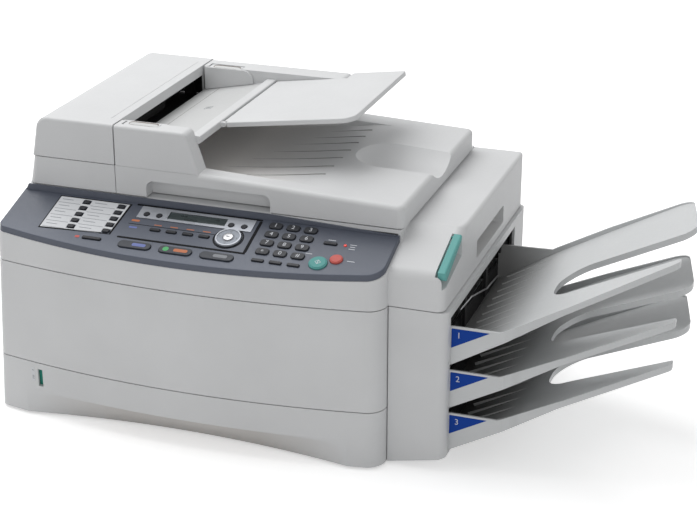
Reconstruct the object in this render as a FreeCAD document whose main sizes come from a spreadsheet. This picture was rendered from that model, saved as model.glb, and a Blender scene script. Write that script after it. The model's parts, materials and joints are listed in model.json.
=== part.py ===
import FreeCAD, Part
import math
import os
import types

import Sketcher

# A desktop laser fax with a flatbed, a document feeder, a paper drawer and three side trays.
# Lengths are millimetres. X runs from the left side, Y from the foremost point of the bowed
# front towards the back and Z up from the floor, until each piece is moved to the frame's origin
# under the middle of the whole object.

DIMENSIONS = {
    # Casing plan
    "body_width": 432.0,
    "body_depth": 354.0,
    "front_bow": 21.4,
    "front_corner_left": 9.0,
    "front_corner_right": 20.0,
    "left_spread": 3.0,
    "left_lean": 3.7,
    "rear_corner": 6.0,
    "casing_wall": 3.0,
    "seam_gap": 1.0,
    "slip_gap": 0.4,
    "cut_margin": 4.0,
    # Heights of the lower casing
    "foot_height": 3.0,
    "foot_radius": 10.0,
    "drawer_height": 61.5,
    "lower_height": 176.0,
    "front_return": 60.0,
    "rear_return": 24.0,
    # Chassis
    "frame_sheet": 2.0,
    "frame_left": 16.0,
    "frame_right_gap": 6.0,
    "frame_front": 46.0,
    "frame_rear_gap": 22.0,
    "frame_top_gap": 8.0,
    "frame_deck_height": 70.0,
    "rail_width": 28.0,
    "path_slot_height": 25.0,
    "path_slot_level": 100.0,
    "path_width": 245.0,
    "path_front": 70.0,
    "path_rear_gap": 39.0,
    # Print engine
    "engine_front": 60.0,
    "engine_rear_gap": 32.0,
    "laser_left": 92.0,
    "laser_width": 58.0,
    "laser_height": 40.0,
    "toner_left": 160.0,
    "toner_width": 140.0,
    "toner_height": 78.0,
    "toner_bevel": 26.0,
    "fuser_left": 325.0,
    "fuser_width": 75.0,
    "fuser_height": 66.0,
    "fuser_bevel": 18.0,
    "fuser_nip": 5.0,
    # Paper drawer
    "drawer_depth": 44.0,
    "grip_crease": 33.0,
    "grip_depth": 32.0,
    "grip_end_inset": 34.0,
    "drawer_hollow_floor": 38.0,
    "bin_left": 26.0,
    "bin_right_inset": 26.0,
    "bin_rear_gap": 28.0,
    "bin_height": 55.0,
    "bin_wall": 2.5,
    "lift_left": 66.0,
    "lift_right_gap": 6.0,
    "lift_front": 60.0,
    "lift_rear_gap": 10.0,
    "lift_sheet": 1.6,
    "pickup_x": 62.0,
    "pickup_radius": 12.0,
    "pickup_length": 60.0,
    "shaft_radius": 3.0,
    "bearing_gap": 0.06,
    "bearing_wall": 3.5,
    "window_x": 53.0,
    "window_width": 6.0,
    "window_bottom": 37.5,
    "window_height": 20.0,
    "flag_depth": 5.0,
    "flag_sheet": 2.0,
    "flag_travel": 10.0,
    # Right column and its trays
    "column_width": 60.0,
    "column_front": 39.0,
    "column_depth": 358.0,
    "column_lug": 18.0,
    "column_corner": 9.0,
    "column_rise": 12.0,
    "mouth_front": 52.5,
    "mouth_rear": 310.0,
    "mouth_bottom": 18.0,
    "mouth_top_gap": 9.0,
    "exit_panel_inset": 9.0,
    "exit_panel_sheet": 3.0,
    "exit_slot_height": 13.0,
    "exit_slot_level": 22.0,
    "exit_roller_radius": 5.5,
    "tray_reach": 217.0,
    "tray_level": 19.5,
    "tray_head_room": 5.0,
    "tray_slope_bottom": 28.8,
    "tray_slope_middle": 28.4,
    "tray_slope_top": 30.6,
    "tray_tip_slope_bottom": 27.6,
    "tray_tip_slope_middle": 26.6,
    "tray_tip_slope_top": 30.0,
    "tray_rim": 7.0,
    "tray_rear_rim": 5.0,
    "tray_side_sheet": 2.5,
    "tray_side_gap": 5.7,
    "tray_side_run": 50.0,
    "tray_blend_run": 112.0,
    "tray_front": 53.0,
    "tray_rear": 277.0,
    "tray_straight_run": 55.0,
    "tray_rear_bulge": 5.0,
    "prong_bend_run": 107.0,
    "prong_bend_front": 65.0,
    "prong_tip_inset": 2.0,
    "prong_tip_front": 72.5,
    "prong_tip_rear": 82.5,
    "tray_slot_run": 83.0,
    "slot_front": 121.0,
    "slot_rear": 188.0,
    "paddle_tip_front": 155.0,
    "paddle_tip_rear": 267.0,
    "paddle_tip_flat": 20.0,
    "paddle_tip_lean": 18.0,
    "slot_corner": 27.0,
    "tip_corner": 4.0,
    "paddle_corner": 11.0,
    "paddle_rear_corner": 24.0,
    "exit_flag_drop": 34.0,
    "exit_flag_sheet": 3.0,
    "exit_flag_width": 8.0,
    # Upper unit
    "upper_height": 64.0,
    "deck_wall": 4.0,
    "panel_rear": 80.0,
    "panel_drop": 5.8,
    "panel_angle": 18.5,
    "panel_thickness": 6.2,
    "panel_inset": 1.0,
    "panel_round": 1.2,
    "kerb_width": 2.0,
    "kerb_fade": 290.0,
    "block_width": 56.0,
    "block_drop": 1.5,
    "block_front_round": 13.0,
    "block_edge_round": 4.0,
    "block_core": 31.0,
    "handle_front": 160.0,
    "handle_length": 110.0,
    "handle_rise": 10.0,
    "handle_height": 20.0,
    "handle_depth": 20.0,
    "lever_front": 43.5,
    "lever_length": 57.0,
    "lever_width": 7.5,
    "lever_height": 10.6,
    "lever_heel": 4.5,
    "lever_pocket_front": 15.7,
    "lever_pocket_rear": 22.0,
    "lever_nose": 4.0,
    "lever_gap": 2.3,
    "lever_back_gap": 1.0,
    "lever_pivot_depth": 2.0,
    "lever_pin": 1.2,
    "lever_pin_reach": 3.5,
    "bay_rise": 22.0,
    "bay_front": 90.0,
    "glass_left": 128.0,
    "glass_right_inset": 12.0,
    "glass_front": 100.0,
    "glass_rear_gap": 28.0,
    "glass_thickness": 2.4,
    "glass_ledge": 4.0,
    "strip_left": 74.0,
    "strip_width": 26.0,
    "rail_y": 206.0,
    "guide_rail_width": 12.0,
    "guide_rail_height": 9.0,
    "carriage_left": 76.0,
    "carriage_width": 22.0,
    "carriage_height": 20.0,
    "carriage_end_gap": 6.0,
    # Left hinge of the upper unit
    "side_hinge_inset": 4.0,
    "side_hinge_radius": 3.8,
    "side_hinge_pin": 1.5,
    "side_hinge_relief": 5.0,
    "side_hinge_first": 118.0,
    "side_hinge_rear_gap": 66.0,
    "outer_knuckle": 10.0,
    "middle_knuckle": 14.0,
    # Document cover
    "cover_left": 24.0,
    "cover_foot_left": 18.0,
    "cover_shoulder_left": 24.0,
    "cover_right_overhang": 2.0,
    "cover_rear_gap": 11.0,
    "cover_gap": 1.2,
    "cover_height": 22.9,
    "cover_corner": 7.0,
    "cover_round": 5.0,
    "rail_depth": 20.0,
    "rail_height": 31.8,
    "feeder_split": 120.0,
    "feeder_base_height": 30.4,
    "tower_height": 73.9,
    "tower_top_end": 201.0,
    "tower_foot_end": 214.6,
    "tower_round": 6.0,
    "rear_wall_depth": 31.0,
    "rear_wall_top_end": 290.5,
    "rear_wall_foot_end": 304.0,
    "feed_floor_start": 45.9,
    "feed_floor_rise": 16.0,
    "feed_floor_sheet": 4.0,
    "feed_floor_end": 199.5,
    "feed_lip_width": 9.8,
    "feed_lip_height": 4.0,
    "basin_floor": 8.4,
    "basin_angle": 9.0,
    "basin_blend": 200.0,
    "notch_left": 155.0,
    "notch_right": 293.0,
    "notch_height": 17.9,
    "notch_depth": 15.0,
    "notch_corner": 8.0,
    "scoop_centre": 379.0,
    "scoop_front": 182.0,
    "scoop_rear": 254.0,
    "scoop_depth": 13.0,
    "pad_margin": 12.0,
    "pad_thickness": 4.0,
    "cover_hinge_back": 5.5,
    "cover_hinge_rise": 4.6,
    "cover_hinge_radius": 4.5,
    "cover_hinge_pin": 2.0,
    "cover_hinge_first": 80.0,
    "cover_hinge_second": 340.0,
    # Feeder
    "adf_gap": 0.8,
    "adf_height": 74.4,
    "adf_shoulder": 8.0,
    "adf_round": 14.0,
    "adf_lip": 11.0,
    "adf_mouth_front": 100.0,
    "adf_hinge_bevel": 0.8,
    "adf_hinge_radius": 2.6,
    "adf_hinge_pin": 1.2,
    "adf_hinge_first": 130.0,
    "adf_hinge_second": 260.0,
    "feed_roller_x": 92.0,
    "feed_roller_level": 45.4,
    "feed_roller_radius": 9.0,
    "feed_roller_length": 70.0,
    "cheek_sheet": 3.0,
    "guide_left": 123.0,
    "guide_length": 59.0,
    "guide_sheet": 2.6,
    "guide_corner": 12.0,
    "tab_left": 127.0,
    "tab_length": 39.0,
    "tab_width": 11.0,
    "tab_depth": 3.2,
    "leaf_front": 152.0,
    "leaf_right": 357.0,
    "leaf_shoulder": 295.0,
    "leaf_rear_inset": 10.0,
    "leaf_sheet": 5.2,
    "leaf_angle": 8.0,
    "leaf_pivot_gap": 3.8,
    "leaf_corner": 15.0,
    "leaf_pin": 1.2,
    "leaf_ear": 4.0,
    "leaf_ear_wall": 1.2,
    # Keys
    "key_rise": 1.6,
    "key_root": 3.0,
    "key_pocket": 4.4,
    "key_gap": 0.35,
    "key_crown": 0.5,
    "dial_left": 303.0,
    "dial_rear": 70.3,
    "dial_pitch_across": 18.8,
    "dial_pitch_down": 12.7,
    "dial_width": 14.0,
    "dial_length": 9.0,
    "dial_corner": 3.4,
    "small_key_row": 19.2,
    "small_key_width": 13.0,
    "slim_key_length": 4.0,
    "slim_key_corner": 1.4,
    "touch_left": 91.0,
    "touch_rear": 69.5,
    "touch_pitch_across": 40.0,
    "touch_pitch_down": 9.46,
    "touch_width": 8.0,
    "touch_length": 5.4,
    "touch_corner": 2.4,
    "mode_left": 170.2,
    "mode_row": 16.6,
    "mode_pitch": 45.0,
    "mode_width": 36.0,
    "mode_length": 10.4,
    "mode_corner": 5.0,
    "bar_left": 181.4,
    "bar_row": 42.2,
    "bar_pitch": 18.1,
    "bar_width": 11.5,
    "round_key_row": 63.2,
    "round_key_left": 162.8,
    "round_key_right": 257.0,
    "round_key_pitch": 14.2,
    "round_key_radius": 3.3,
    "navigator_x": 261.4,
    "navigator_y": 44.6,
    "navigator_radius": 14.0,
    "start_x": 363.9,
    "start_y": 26.5,
    "start_radius": 9.4,
    "stop_x": 380.0,
    "stop_y": 35.0,
    "stop_radius": 6.6,
    "lone_left_x": 121.0,
    "lone_left_y": 18.5,
    "lone_left_width": 21.0,
    "lone_right_x": 366.5,
    "lone_right_y": 55.9,
    "lone_right_width": 14.0,
    "bezel_left": 153.5,
    "bezel_right": 280.5,
    "bezel_front": 57.0,
    "bezel_rear": 74.5,
    "bezel_sheet": 1.6,
    "bezel_rise": 0.7,
    "lcd_left": 186.5,
    "lcd_right": 250.5,
    "lcd_front": 60.5,
    "lcd_rear": 71.0,
    "frame_line_left": 146.0,
    "frame_line_right": 286.0,
    "frame_line_front": 27.5,
    "frame_line_width": 2.2,
    "frame_line_depth": 1.2,
    # Rear board, sockets and fasteners
    "board_left": 30.0,
    "board_width": 370.0,
    "board_bottom": 78.0,
    "board_top_gap": 4.0,
    "board_sheet": 2.0,
    "board_standoff": 1.0,
    "inlet_left": 352.0,
    "inlet_width": 32.0,
    "inlet_height": 24.0,
    "inlet_level": 84.0,
    "jack_left": 60.0,
    "jack_pitch": 22.0,
    "jack_width": 15.0,
    "jack_height": 14.0,
    "jack_level": 90.0,
    "socket_wall": 3.0,
    "socket_floor": 4.0,
    "screw_inset": 40.0,
    "screw_low": 30.0,
    "screw_high": 150.0,
    "screw_head_radius": 3.5,
    "screw_head": 1.8,
    "screw_shank_radius": 1.6,
    "screw_length": 9.0,
}

doc = FreeCAD.newDocument("FaxMachine")
sheet = doc.addObject("Spreadsheet::Sheet", "Sizes")
pieces = []
low_corners = {}


class Size:
    """A dimension: its value now and the sheet expression that keeps it."""

    def __init__(self, value, text):
        self.value = value
        self.text = text

    def __add__(self, other):
        other = as_size(other)
        return Size(self.value + other.value, f"({self.text} + {other.text})")

    def __sub__(self, other):
        other = as_size(other)
        return Size(self.value - other.value, f"({self.text} - {other.text})")

    def __mul__(self, other):
        other = as_size(other)
        return Size(self.value * other.value, f"({self.text} * {other.text})")

    def __truediv__(self, other):
        other = as_size(other)
        return Size(self.value / other.value, f"({self.text} / {other.text})")

    def __radd__(self, other):
        return as_size(other) + self

    def __rsub__(self, other):
        return as_size(other) - self

    def __rmul__(self, other):
        return as_size(other) * self

    def __neg__(self):
        return as_size(0) - self


def as_size(number):
    """The number as a Size, so that plain factors mix with sheet values."""
    if isinstance(number, Size):
        return number
    return Size(float(number), str(float(number)))


def tangent(angle):
    return Size(math.tan(math.radians(angle.value)), f"tan({angle.text})")


def cosine(angle):
    return Size(math.cos(math.radians(angle.value)), f"cos({angle.text})")


def sine(angle):
    return Size(math.sin(math.radians(angle.value)), f"sin({angle.text})")


def root(number):
    return Size(math.sqrt(number.value), f"sqrt({number.text})")


def read_sheet():
    """Fill the sheet and return its values by name."""
    values = {}
    for row, (alias, value) in enumerate(DIMENSIONS.items(), start=1):
        sheet.set(f"A{row}", alias)
        sheet.set(f"B{row}", str(value))
        sheet.setAlias(f"B{row}", alias)
        values[alias] = Size(value, f"Sizes.{alias}")
    doc.recompute()
    return types.SimpleNamespace(**values)


d = read_sheet()


def bind(feature, path, value):
    """Tie one property of a feature to the sheet."""
    feature.setExpression(path, as_size(value).text)


def seat(feature, corner):
    """Place a feature's own origin at a point tied to the sheet."""
    for axis, value in zip("xyz", corner):
        bind(feature, f"Placement.Base.{axis}", value)
    low_corners[feature.Name] = corner


def box(name, low, high):
    """A block between its low and high corners."""
    block = doc.addObject("Part::Box", name)
    for side, start, end in zip(("Length", "Width", "Height"), low, high):
        bind(block, side, as_size(end) - start)
    seat(block, low)
    return block


AXIS_TURNS = {
    "X": FreeCAD.Rotation(FreeCAD.Vector(0, 1, 0), 90),
    "Y": FreeCAD.Rotation(FreeCAD.Vector(1, 0, 0), -90),
    "Z": FreeCAD.Rotation(),
}


def rod(name, axis, start, length, radius):
    """A round bar from its start point along one axis."""
    bar = doc.addObject("Part::Cylinder", name)
    bar.Placement = FreeCAD.Placement(FreeCAD.Vector(), AXIS_TURNS[axis])
    bind(bar, "Radius", radius)
    bind(bar, "Height", length)
    seat(bar, start)
    return bar


def own_plane(body, plane):
    """One of a body's three origin planes."""
    role = plane + "_Plane"
    return [feature for feature in body.Origin.OriginFeatures if feature.Role == role][0]


def plane_sketch(body, name, plane, offset):
    """A sketch on one of the body's own planes, moved along that plane's normal."""
    sketch = body.newObject("Sketcher::SketchObject", name)
    sketch.AttachmentSupport = (own_plane(body, plane), [""])
    sketch.MapMode = "FlatFace"
    bind(sketch, "AttachmentOffset.Base.z", offset)
    return sketch


def constrain(sketch, constraint, value):
    """Add a dimension to a sketch and tie it to the sheet."""
    index = sketch.addConstraint(constraint)
    bind(sketch, f"Constraints[{index}]", value)


def pin_x(sketch, curve, point, x):
    constrain(sketch, Sketcher.Constraint("DistanceX", -1, 1, curve, point, as_size(x).value), x)


def pin_y(sketch, curve, point, y):
    constrain(sketch, Sketcher.Constraint("DistanceY", -1, 1, curve, point, as_size(y).value), y)


def flat(point):
    return FreeCAD.Vector(as_size(point[0]).value, as_size(point[1]).value, 0)


def draw_outline(sketch, corners):
    """A closed outline of straight lines with every corner tied to the sheet."""
    count = len(corners)
    for index in range(count):
        sketch.addGeometry(Part.LineSegment(flat(corners[index]), flat(corners[(index + 1) % count])))
    for index in range(count):
        sketch.addConstraint(Sketcher.Constraint("Coincident", index, 2, (index + 1) % count, 1))
    for index, (across, up) in enumerate(corners):
        pin_x(sketch, index, 1, across)
        pin_y(sketch, index, 1, up)


def pad(body, sketch, length):
    """Thicken a sketch into the body's solid."""
    feature = body.newObject("PartDesign::Pad", body.Name + "Pad")
    feature.Profile = sketch
    bind(feature, "Length", length)
    body.Tip = feature
    return feature


def prism(name, plane, corners, start, end):
    """A straight prism on an outline: plane names the outline's two axes."""
    body = doc.addObject("PartDesign::Body", name)
    offset = -as_size(end) if plane == "XZ" else start
    sketch = plane_sketch(body, name + "Outline", plane, offset)
    draw_outline(sketch, corners)
    pad(body, sketch, as_size(end) - start)
    return body


def next_round(body, name, radius, chosen):
    """Round the edges of a body's solid that the test picks, on one bound radius."""
    doc.recompute()
    base = body.Tip
    names = [f"Edge{place}" for place, edge in enumerate(base.Shape.Edges, start=1) if chosen(edge)]
    fillet = body.newObject("PartDesign::Fillet", name)
    fillet.Base = (base, names)
    bind(fillet, "Radius", radius)
    body.Tip = fillet
    return body


def rounded(name, base, radius, chosen):
    """A copy of a shape with the edges that the test picks rounded."""
    doc.recompute()
    reach = as_size(radius).value
    fillet = doc.addObject("Part::Fillet", name)
    fillet.Base = base
    edges = enumerate(base.Shape.Edges, start=1)
    fillet.Edges = [(place, reach, reach) for place, edge in edges if chosen(edge)]
    return fillet


def fuse(name, shapes):
    """One solid from several that touch or overlap."""
    feature = doc.addObject("Part::MultiFuse", name)
    feature.Shapes = shapes
    feature.Refine = True
    return feature


def cut(name, base, tools):
    """The base less every tool."""
    feature = doc.addObject("Part::Cut", name)
    feature.Base = base
    feature.Tool = tools[0] if len(tools) == 1 else fuse(name + "Tools", tools)
    feature.Refine = True
    return feature


def common(name, shapes):
    """What several shapes share."""
    feature = doc.addObject("Part::MultiCommon", name)
    feature.Shapes = shapes
    feature.Refine = True
    return feature


def group(name, shapes):
    """Separate solids kept together in one object."""
    feature = doc.addObject("Part::Compound", name)
    feature.Links = shapes
    return feature


def shifted(name, shape, step):
    """A copy of a shape moved by a step."""
    copy = group(name, [shape])
    seat(copy, step)
    return copy


# Levels and stations that several pieces share

margin = d.cut_margin
wall = d.casing_wall
seam = d.seam_gap
floor_level = d.foot_height
drawer_top = floor_level + d.drawer_height
cover_bottom = drawer_top + seam
upper_bottom = d.lower_height + seam
column_left = d.body_width + seam
column_right = column_left + d.column_width
tray_tip = column_right + d.tray_reach
frame_rear = d.body_depth - d.frame_rear_gap
frame_height = d.lower_height - d.frame_top_gap
bin_rear = d.body_depth - d.bin_rear_gap
path_rear = d.body_depth - d.path_rear_gap
mouth_top = d.lower_height - d.mouth_top_gap
tray_pitch = (mouth_top - d.mouth_bottom - d.tray_head_room) / 3
tray_side_height = tray_pitch - d.tray_side_gap
deck_height = upper_bottom + d.upper_height
panel_rear_height = deck_height - d.panel_drop
block_height = deck_height - d.block_drop
handle_bottom = upper_bottom + d.handle_rise
bay_floor = upper_bottom + d.bay_rise
cover_rear = d.body_depth - d.cover_rear_gap
bow_radius = (d.body_width * d.body_width / 4 + d.front_bow * d.front_bow) / (2 * d.front_bow)
lean_rate = tangent(d.left_lean)
panel_fall = tangent(d.panel_angle)
slope_drop = d.panel_thickness / cosine(d.panel_angle)


def left_side(z):
    """Station of the casing's leaning left side at one height."""
    return z * lean_rate - d.left_spread


def bow_depth(x):
    """How far the bowed front stands back from its foremost point."""
    off_middle = d.body_width / 2 - x
    return bow_radius - root(bow_radius * bow_radius - off_middle * off_middle)


def panel_level(y):
    """Height of the control panel's top face above a point of the plan."""
    return panel_rear_height + (y - d.panel_rear) * panel_fall


def slope_level(y):
    """Height of the casing slope that carries the panel."""
    return panel_level(y) - slope_drop


def piece(label, feature):
    """Name a finished sub-part and move it from the plan's corner to the frame's origin."""
    corner = low_corners.get(feature.Name, (0, 0, 0))
    bind(feature, "Placement.Base.x",
         corner[0] - (tray_tip - left_side(floor_level)) / 2 - left_side(floor_level))
    bind(feature, "Placement.Base.y", corner[1] - d.column_depth / 2)
    bind(feature, "Placement.Base.z", corner[2])
    feature.Label = label
    pieces.append(feature)


def upright(edge):
    """True for a straight edge along Z."""
    return along(edge, 2)


def along(edge, axis):
    """True for a straight edge along one axis."""
    if len(edge.Vertexes) != 2 or not isinstance(edge.Curve, (Part.Line, Part.LineSegment)):
        return False
    span = edge.Vertexes[1].Point - edge.Vertexes[0].Point
    return abs(abs(span[axis]) - span.Length) < 1e-6


def near(value, target):
    return abs(value - as_size(target).value) < 0.01


def middle(edge):
    return edge.CenterOfMass


def casing(name, inset, back, bottom, top):
    """A prism on the casing's plan: bowed front, rounded front corners and a leaning left side."""
    body = doc.addObject("PartDesign::Body", name)
    sketch = plane_sketch(body, name + "Outline", "XY", bottom)
    inset = as_size(inset)
    back = as_size(back)
    radius = bow_radius - inset
    left = inset - d.left_spread
    right = d.body_width - inset
    centre_x = d.body_width / 2
    centre = flat((centre_x, bow_radius))
    circle = Part.Circle(centre, FreeCAD.Vector(0, 0, 1), radius.value)
    swings = [math.asin((end.value - centre_x.value) / radius.value) for end in (left, right)]
    front = Part.ArcOfCircle(circle, swings[0] - math.pi / 2, swings[1] - math.pi / 2)
    sketch.addGeometry(front)
    route = [front.EndPoint, flat((right, back)), flat((left, back)), front.StartPoint]
    for start, end in zip(route, route[1:]):
        sketch.addGeometry(Part.LineSegment(start, end))
    for curve in range(4):
        sketch.addConstraint(Sketcher.Constraint("Coincident", curve, 2, (curve + 1) % 4, 1))
    pin_x(sketch, 0, 3, centre_x)
    pin_y(sketch, 0, 3, bow_radius)
    constrain(sketch, Sketcher.Constraint("Radius", 0, radius.value), radius)
    pin_x(sketch, 0, 1, left)
    pin_x(sketch, 0, 2, right)
    pin_x(sketch, 1, 2, right)
    pin_y(sketch, 1, 2, back)
    pin_x(sketch, 2, 2, left)
    pin_y(sketch, 2, 2, back)
    pad(body, sketch, as_size(top) - bottom)
    lean_left_face(body)
    next_round(body, name + "RightCorner", d.front_corner_right - inset,
               lambda edge: rising(edge) and middle(edge).x > centre_x.value
               and middle(edge).y < back.value - 1)
    return next_round(body, name + "LeftCorner", d.front_corner_left - inset,
                      lambda edge: rising(edge) and middle(edge).x < d.panel_rear.value
                      and middle(edge).y < back.value - 1)


def lean_left_face(body):
    """Tilt a prism's left face about the floor line."""
    doc.recompute()
    base = body.Tip
    sides = enumerate(base.Shape.Faces, start=1)
    names = [f"Face{place}" for place, face in sides if face.normalAt(0, 0).x < -0.99]
    draft = body.newObject("PartDesign::Draft", body.Name + "Lean")
    draft.Base = (base, names)
    draft.NeutralPlane = (own_plane(body, "XY"), [""])
    bind(draft, "Angle", d.left_lean)
    body.Tip = draft


def rising(edge):
    """True for an edge that climbs from one level to another."""
    return edge.BoundBox.ZLength > max(edge.BoundBox.XLength, edge.BoundBox.YLength)


# Lower casing

pickup_front = d.frame_front + (frame_rear - d.frame_front - d.pickup_length) / 2
pickup_rear = pickup_front + d.pickup_length
pickup_level = d.frame_deck_height + d.bearing_wall + d.shaft_radius
frame_right = d.body_width - wall - d.frame_right_gap
deck_top = d.frame_deck_height + d.frame_sheet
side_hinge_level = d.lower_height + seam / 2
side_hinge_x = left_side(side_hinge_level) + d.side_hinge_inset
side_hinges = (("One", d.side_hinge_first), ("Two", d.body_depth - d.side_hinge_rear_gap))
hinge_run = d.outer_knuckle * 2 + d.middle_knuckle


def base_frame():
    """Sheet-metal chassis: two side plates, a deck over the drawer, a back plate and drawer rails."""
    left = d.frame_left
    front = d.frame_front
    rear = frame_rear
    metal = d.frame_sheet
    deck = d.frame_deck_height
    rail_top = floor_level + metal
    plates = [box("FrameLeft", (left, front, floor_level), (left + metal, rear, frame_height)),
              box("FrameRight", (frame_right - metal, front, floor_level),
                  (frame_right, rear, frame_height)),
              box("FrameDeck", (left, front, deck), (frame_right, rear, deck_top)),
              box("FrameBack", (left, rear - metal, deck), (frame_right, rear, frame_height)),
              box("FrameLeftRail", (left, front, floor_level), (left + d.rail_width, rear, rail_top)),
              box("FrameRightRail", (frame_right - d.rail_width, front, floor_level),
                  (frame_right, rear, rail_top))]
    holes = [box("FramePathSlot", (frame_right - margin, d.path_front, d.path_slot_level),
                 (frame_right + margin, path_rear,
                  d.path_slot_level + d.path_slot_height)),
             box("FramePickupHole", (d.pickup_x - d.pickup_radius - margin, pickup_front + d.slip_gap,
                                     deck - margin),
                 (d.pickup_x + d.pickup_radius + margin, pickup_rear - d.slip_gap, deck_top + margin))]
    ear_top = deck_top + d.pickup_radius + d.bearing_wall * 2
    for name, start in (("Front", pickup_front - d.bearing_wall), ("Rear", pickup_rear)):
        plates.append(box(f"FrameEar{name}", (d.pickup_x - d.bearing_wall * 2, start, deck),
                          (d.pickup_x + d.bearing_wall * 2, start + d.bearing_wall, ear_top)))
        holes.append(rod(f"FrameEarBore{name}", "Y", (d.pickup_x, start - margin, pickup_level),
                         d.bearing_wall + margin * 2, d.shaft_radius + d.bearing_gap))
    piece("base_frame", cut("BaseFrame", fuse("FrameSolid", plates), holes))


def leaning_plate(name, front, rear, bottom, top):
    """A stretch of the left side cover."""
    return prism(name, "XZ", [(left_side(bottom), bottom), (left_side(bottom) + wall, bottom),
                              (left_side(top) + wall, top), (left_side(top), top)], front, rear)


def left_cover():
    """Leaning side cover with the outer barrels of the upper unit's hinge."""
    rear = d.body_depth - d.rear_return - d.slip_gap
    front_low = d.drawer_depth + seam
    front_high = d.front_return + d.slip_gap
    solids = [leaning_plate("LeftPlateLow", front_low, rear, floor_level, drawer_top),
              leaning_plate("LeftPlateHigh", front_high, rear, drawer_top, d.lower_height)]
    for name, level in (("Low", drawer_top), ("High", d.screw_high)):
        solids.append(box(f"LeftBoss{name}", (left_side(level) + wall / 2, d.frame_front + d.screw_inset,
                                              level),
                          (d.frame_left, d.frame_front + d.screw_inset + d.foot_radius,
                           level + d.foot_radius)))
    reliefs = []
    for name, start in side_hinges:
        for side, begin in (("Front", start), ("Rear", start + d.outer_knuckle + d.middle_knuckle)):
            solids.append(rod(f"LeftBarrel{name}{side}", "Y", (side_hinge_x, begin, side_hinge_level),
                              d.outer_knuckle, d.side_hinge_radius))
        reliefs.append(rod(f"LeftRelief{name}", "Y",
                           (side_hinge_x, start + d.outer_knuckle, side_hinge_level), d.middle_knuckle,
                           d.side_hinge_radius + d.slip_gap))
        reliefs.append(rod(f"LeftPinBore{name}", "Y", (side_hinge_x, start - margin, side_hinge_level),
                           hinge_run + margin * 2, d.side_hinge_pin + d.bearing_gap))
    piece("left_cover", cut("LeftCover", fuse("LeftSolid", solids), reliefs))


def top_hinge_pins():
    """Steel pins of the upper unit's two hinges."""
    pins = [rod(f"SidePin{name}", "Y", (side_hinge_x, start, side_hinge_level), hinge_run, d.side_hinge_pin)
            for name, start in side_hinges]
    piece("top_hinge_pins", group("TopHingePins", pins))


def front_cover():
    """Bowed front cover between the drawer and the upper unit, with a tab to each chassis side."""
    outer = casing("FrontOuter", 0, d.front_return, cover_bottom, d.lower_height)
    inner = casing("FrontInner", wall, d.front_return + margin, cover_bottom - margin,
                   d.lower_height + margin)
    level = d.path_slot_level
    tabs = [
        box("FrontLeftTab", (left_side(level) + wall / 2, d.frame_front + seam, level),
            (d.frame_left, d.front_return, level + d.foot_radius)),
        box("FrontRightTab", (frame_right, d.frame_front + seam, level),
            (d.body_width - wall / 2, d.front_return, level + d.foot_radius)),
    ]
    piece("front_cover", fuse("FrontCover", [cut("FrontShell", outer, [inner])] + tabs))


def rear_cover():
    """Back cover with side returns, socket windows and screw holes."""
    front = d.body_depth - d.rear_return
    top = d.lower_height
    right = d.body_width
    rear = d.body_depth
    outer = prism("RearOuter", "XZ", [(left_side(floor_level), floor_level), (right, floor_level),
                                      (right, top), (left_side(top), top)], front, rear)
    next_round(outer, "RearOuterCorner", d.rear_corner,
               lambda edge: rising(edge) and near(middle(edge).y, rear))
    low = floor_level - margin
    high = top + margin
    inner = prism("RearInner", "XZ", [(left_side(low) + wall, low), (right - wall, low), (right - wall, high),
                                      (left_side(high) + wall, high)], front - margin, rear - wall)
    tools = [inner]
    for name, left, level, width, height in sockets:
        tools.append(box(f"RearWindow{name}", (left - d.slip_gap, rear - wall - margin, level - d.slip_gap),
                         (left + width + d.slip_gap, rear + margin, level + height + d.slip_gap)))
    for name, x, z in screws:
        tools.append(rod(f"RearScrewHole{name}", "Y", (x, rear - wall - margin, z), wall + margin * 2,
                         d.screw_shank_radius + d.bearing_gap))
    piece("rear_cover", cut("RearCover", outer, tools))


sockets = (
    ("Inlet", d.inlet_left, d.inlet_level, d.inlet_width, d.inlet_height),
    ("JackOne", d.jack_left, d.jack_level, d.jack_width, d.jack_height),
    ("JackTwo", d.jack_left + d.jack_pitch, d.jack_level, d.jack_width, d.jack_height),
)
screws = (
    ("LeftLow", d.screw_inset, d.screw_low),
    ("LeftHigh", d.screw_inset, d.screw_high),
    ("MiddleLow", d.body_width / 2, d.screw_low),
    ("MiddleHigh", d.body_width / 2, d.screw_high),
    ("RightLow", d.body_width - d.screw_inset, d.screw_low),
    ("RightHigh", d.body_width - d.screw_inset, d.screw_high),
)


def case_screws():
    solids = []
    for name, x, z in screws:
        head = rod(f"ScrewHead{name}", "Y", (x, d.body_depth, z), d.screw_head, d.screw_head_radius)
        shank = rod(f"ScrewShank{name}", "Y", (x, d.body_depth - d.screw_length, z), d.screw_length,
                    d.screw_shank_radius)
        solids.append(fuse(f"Screw{name}", [head, shank]))
    piece("case_screws", group("CaseScrews", solids))


def rubber_feet():
    left = d.frame_left + d.rail_width / 2
    right = frame_right - d.rail_width / 2
    front = d.frame_front + d.foot_radius * 2
    rear = frame_rear - d.foot_radius * 2
    feet = []
    for name, x, y in (("FL", left, front), ("FR", right, front), ("RL", left, rear), ("RR", right, rear)):
        feet.append(rod(f"Foot{name}", "Z", (x, y, 0), d.foot_height, d.foot_radius))
    piece("rubber_feet", group("RubberFeet", feet))


# Print engine

engine_rear = d.body_depth - d.engine_rear_gap


def laser_unit():
    block = box("LaserBlock", (d.laser_left, d.engine_front, deck_top),
                (d.laser_left + d.laser_width, engine_rear, deck_top + d.laser_height))
    piece("laser_unit", rounded("LaserUnit", block, wall, upright))


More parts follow.
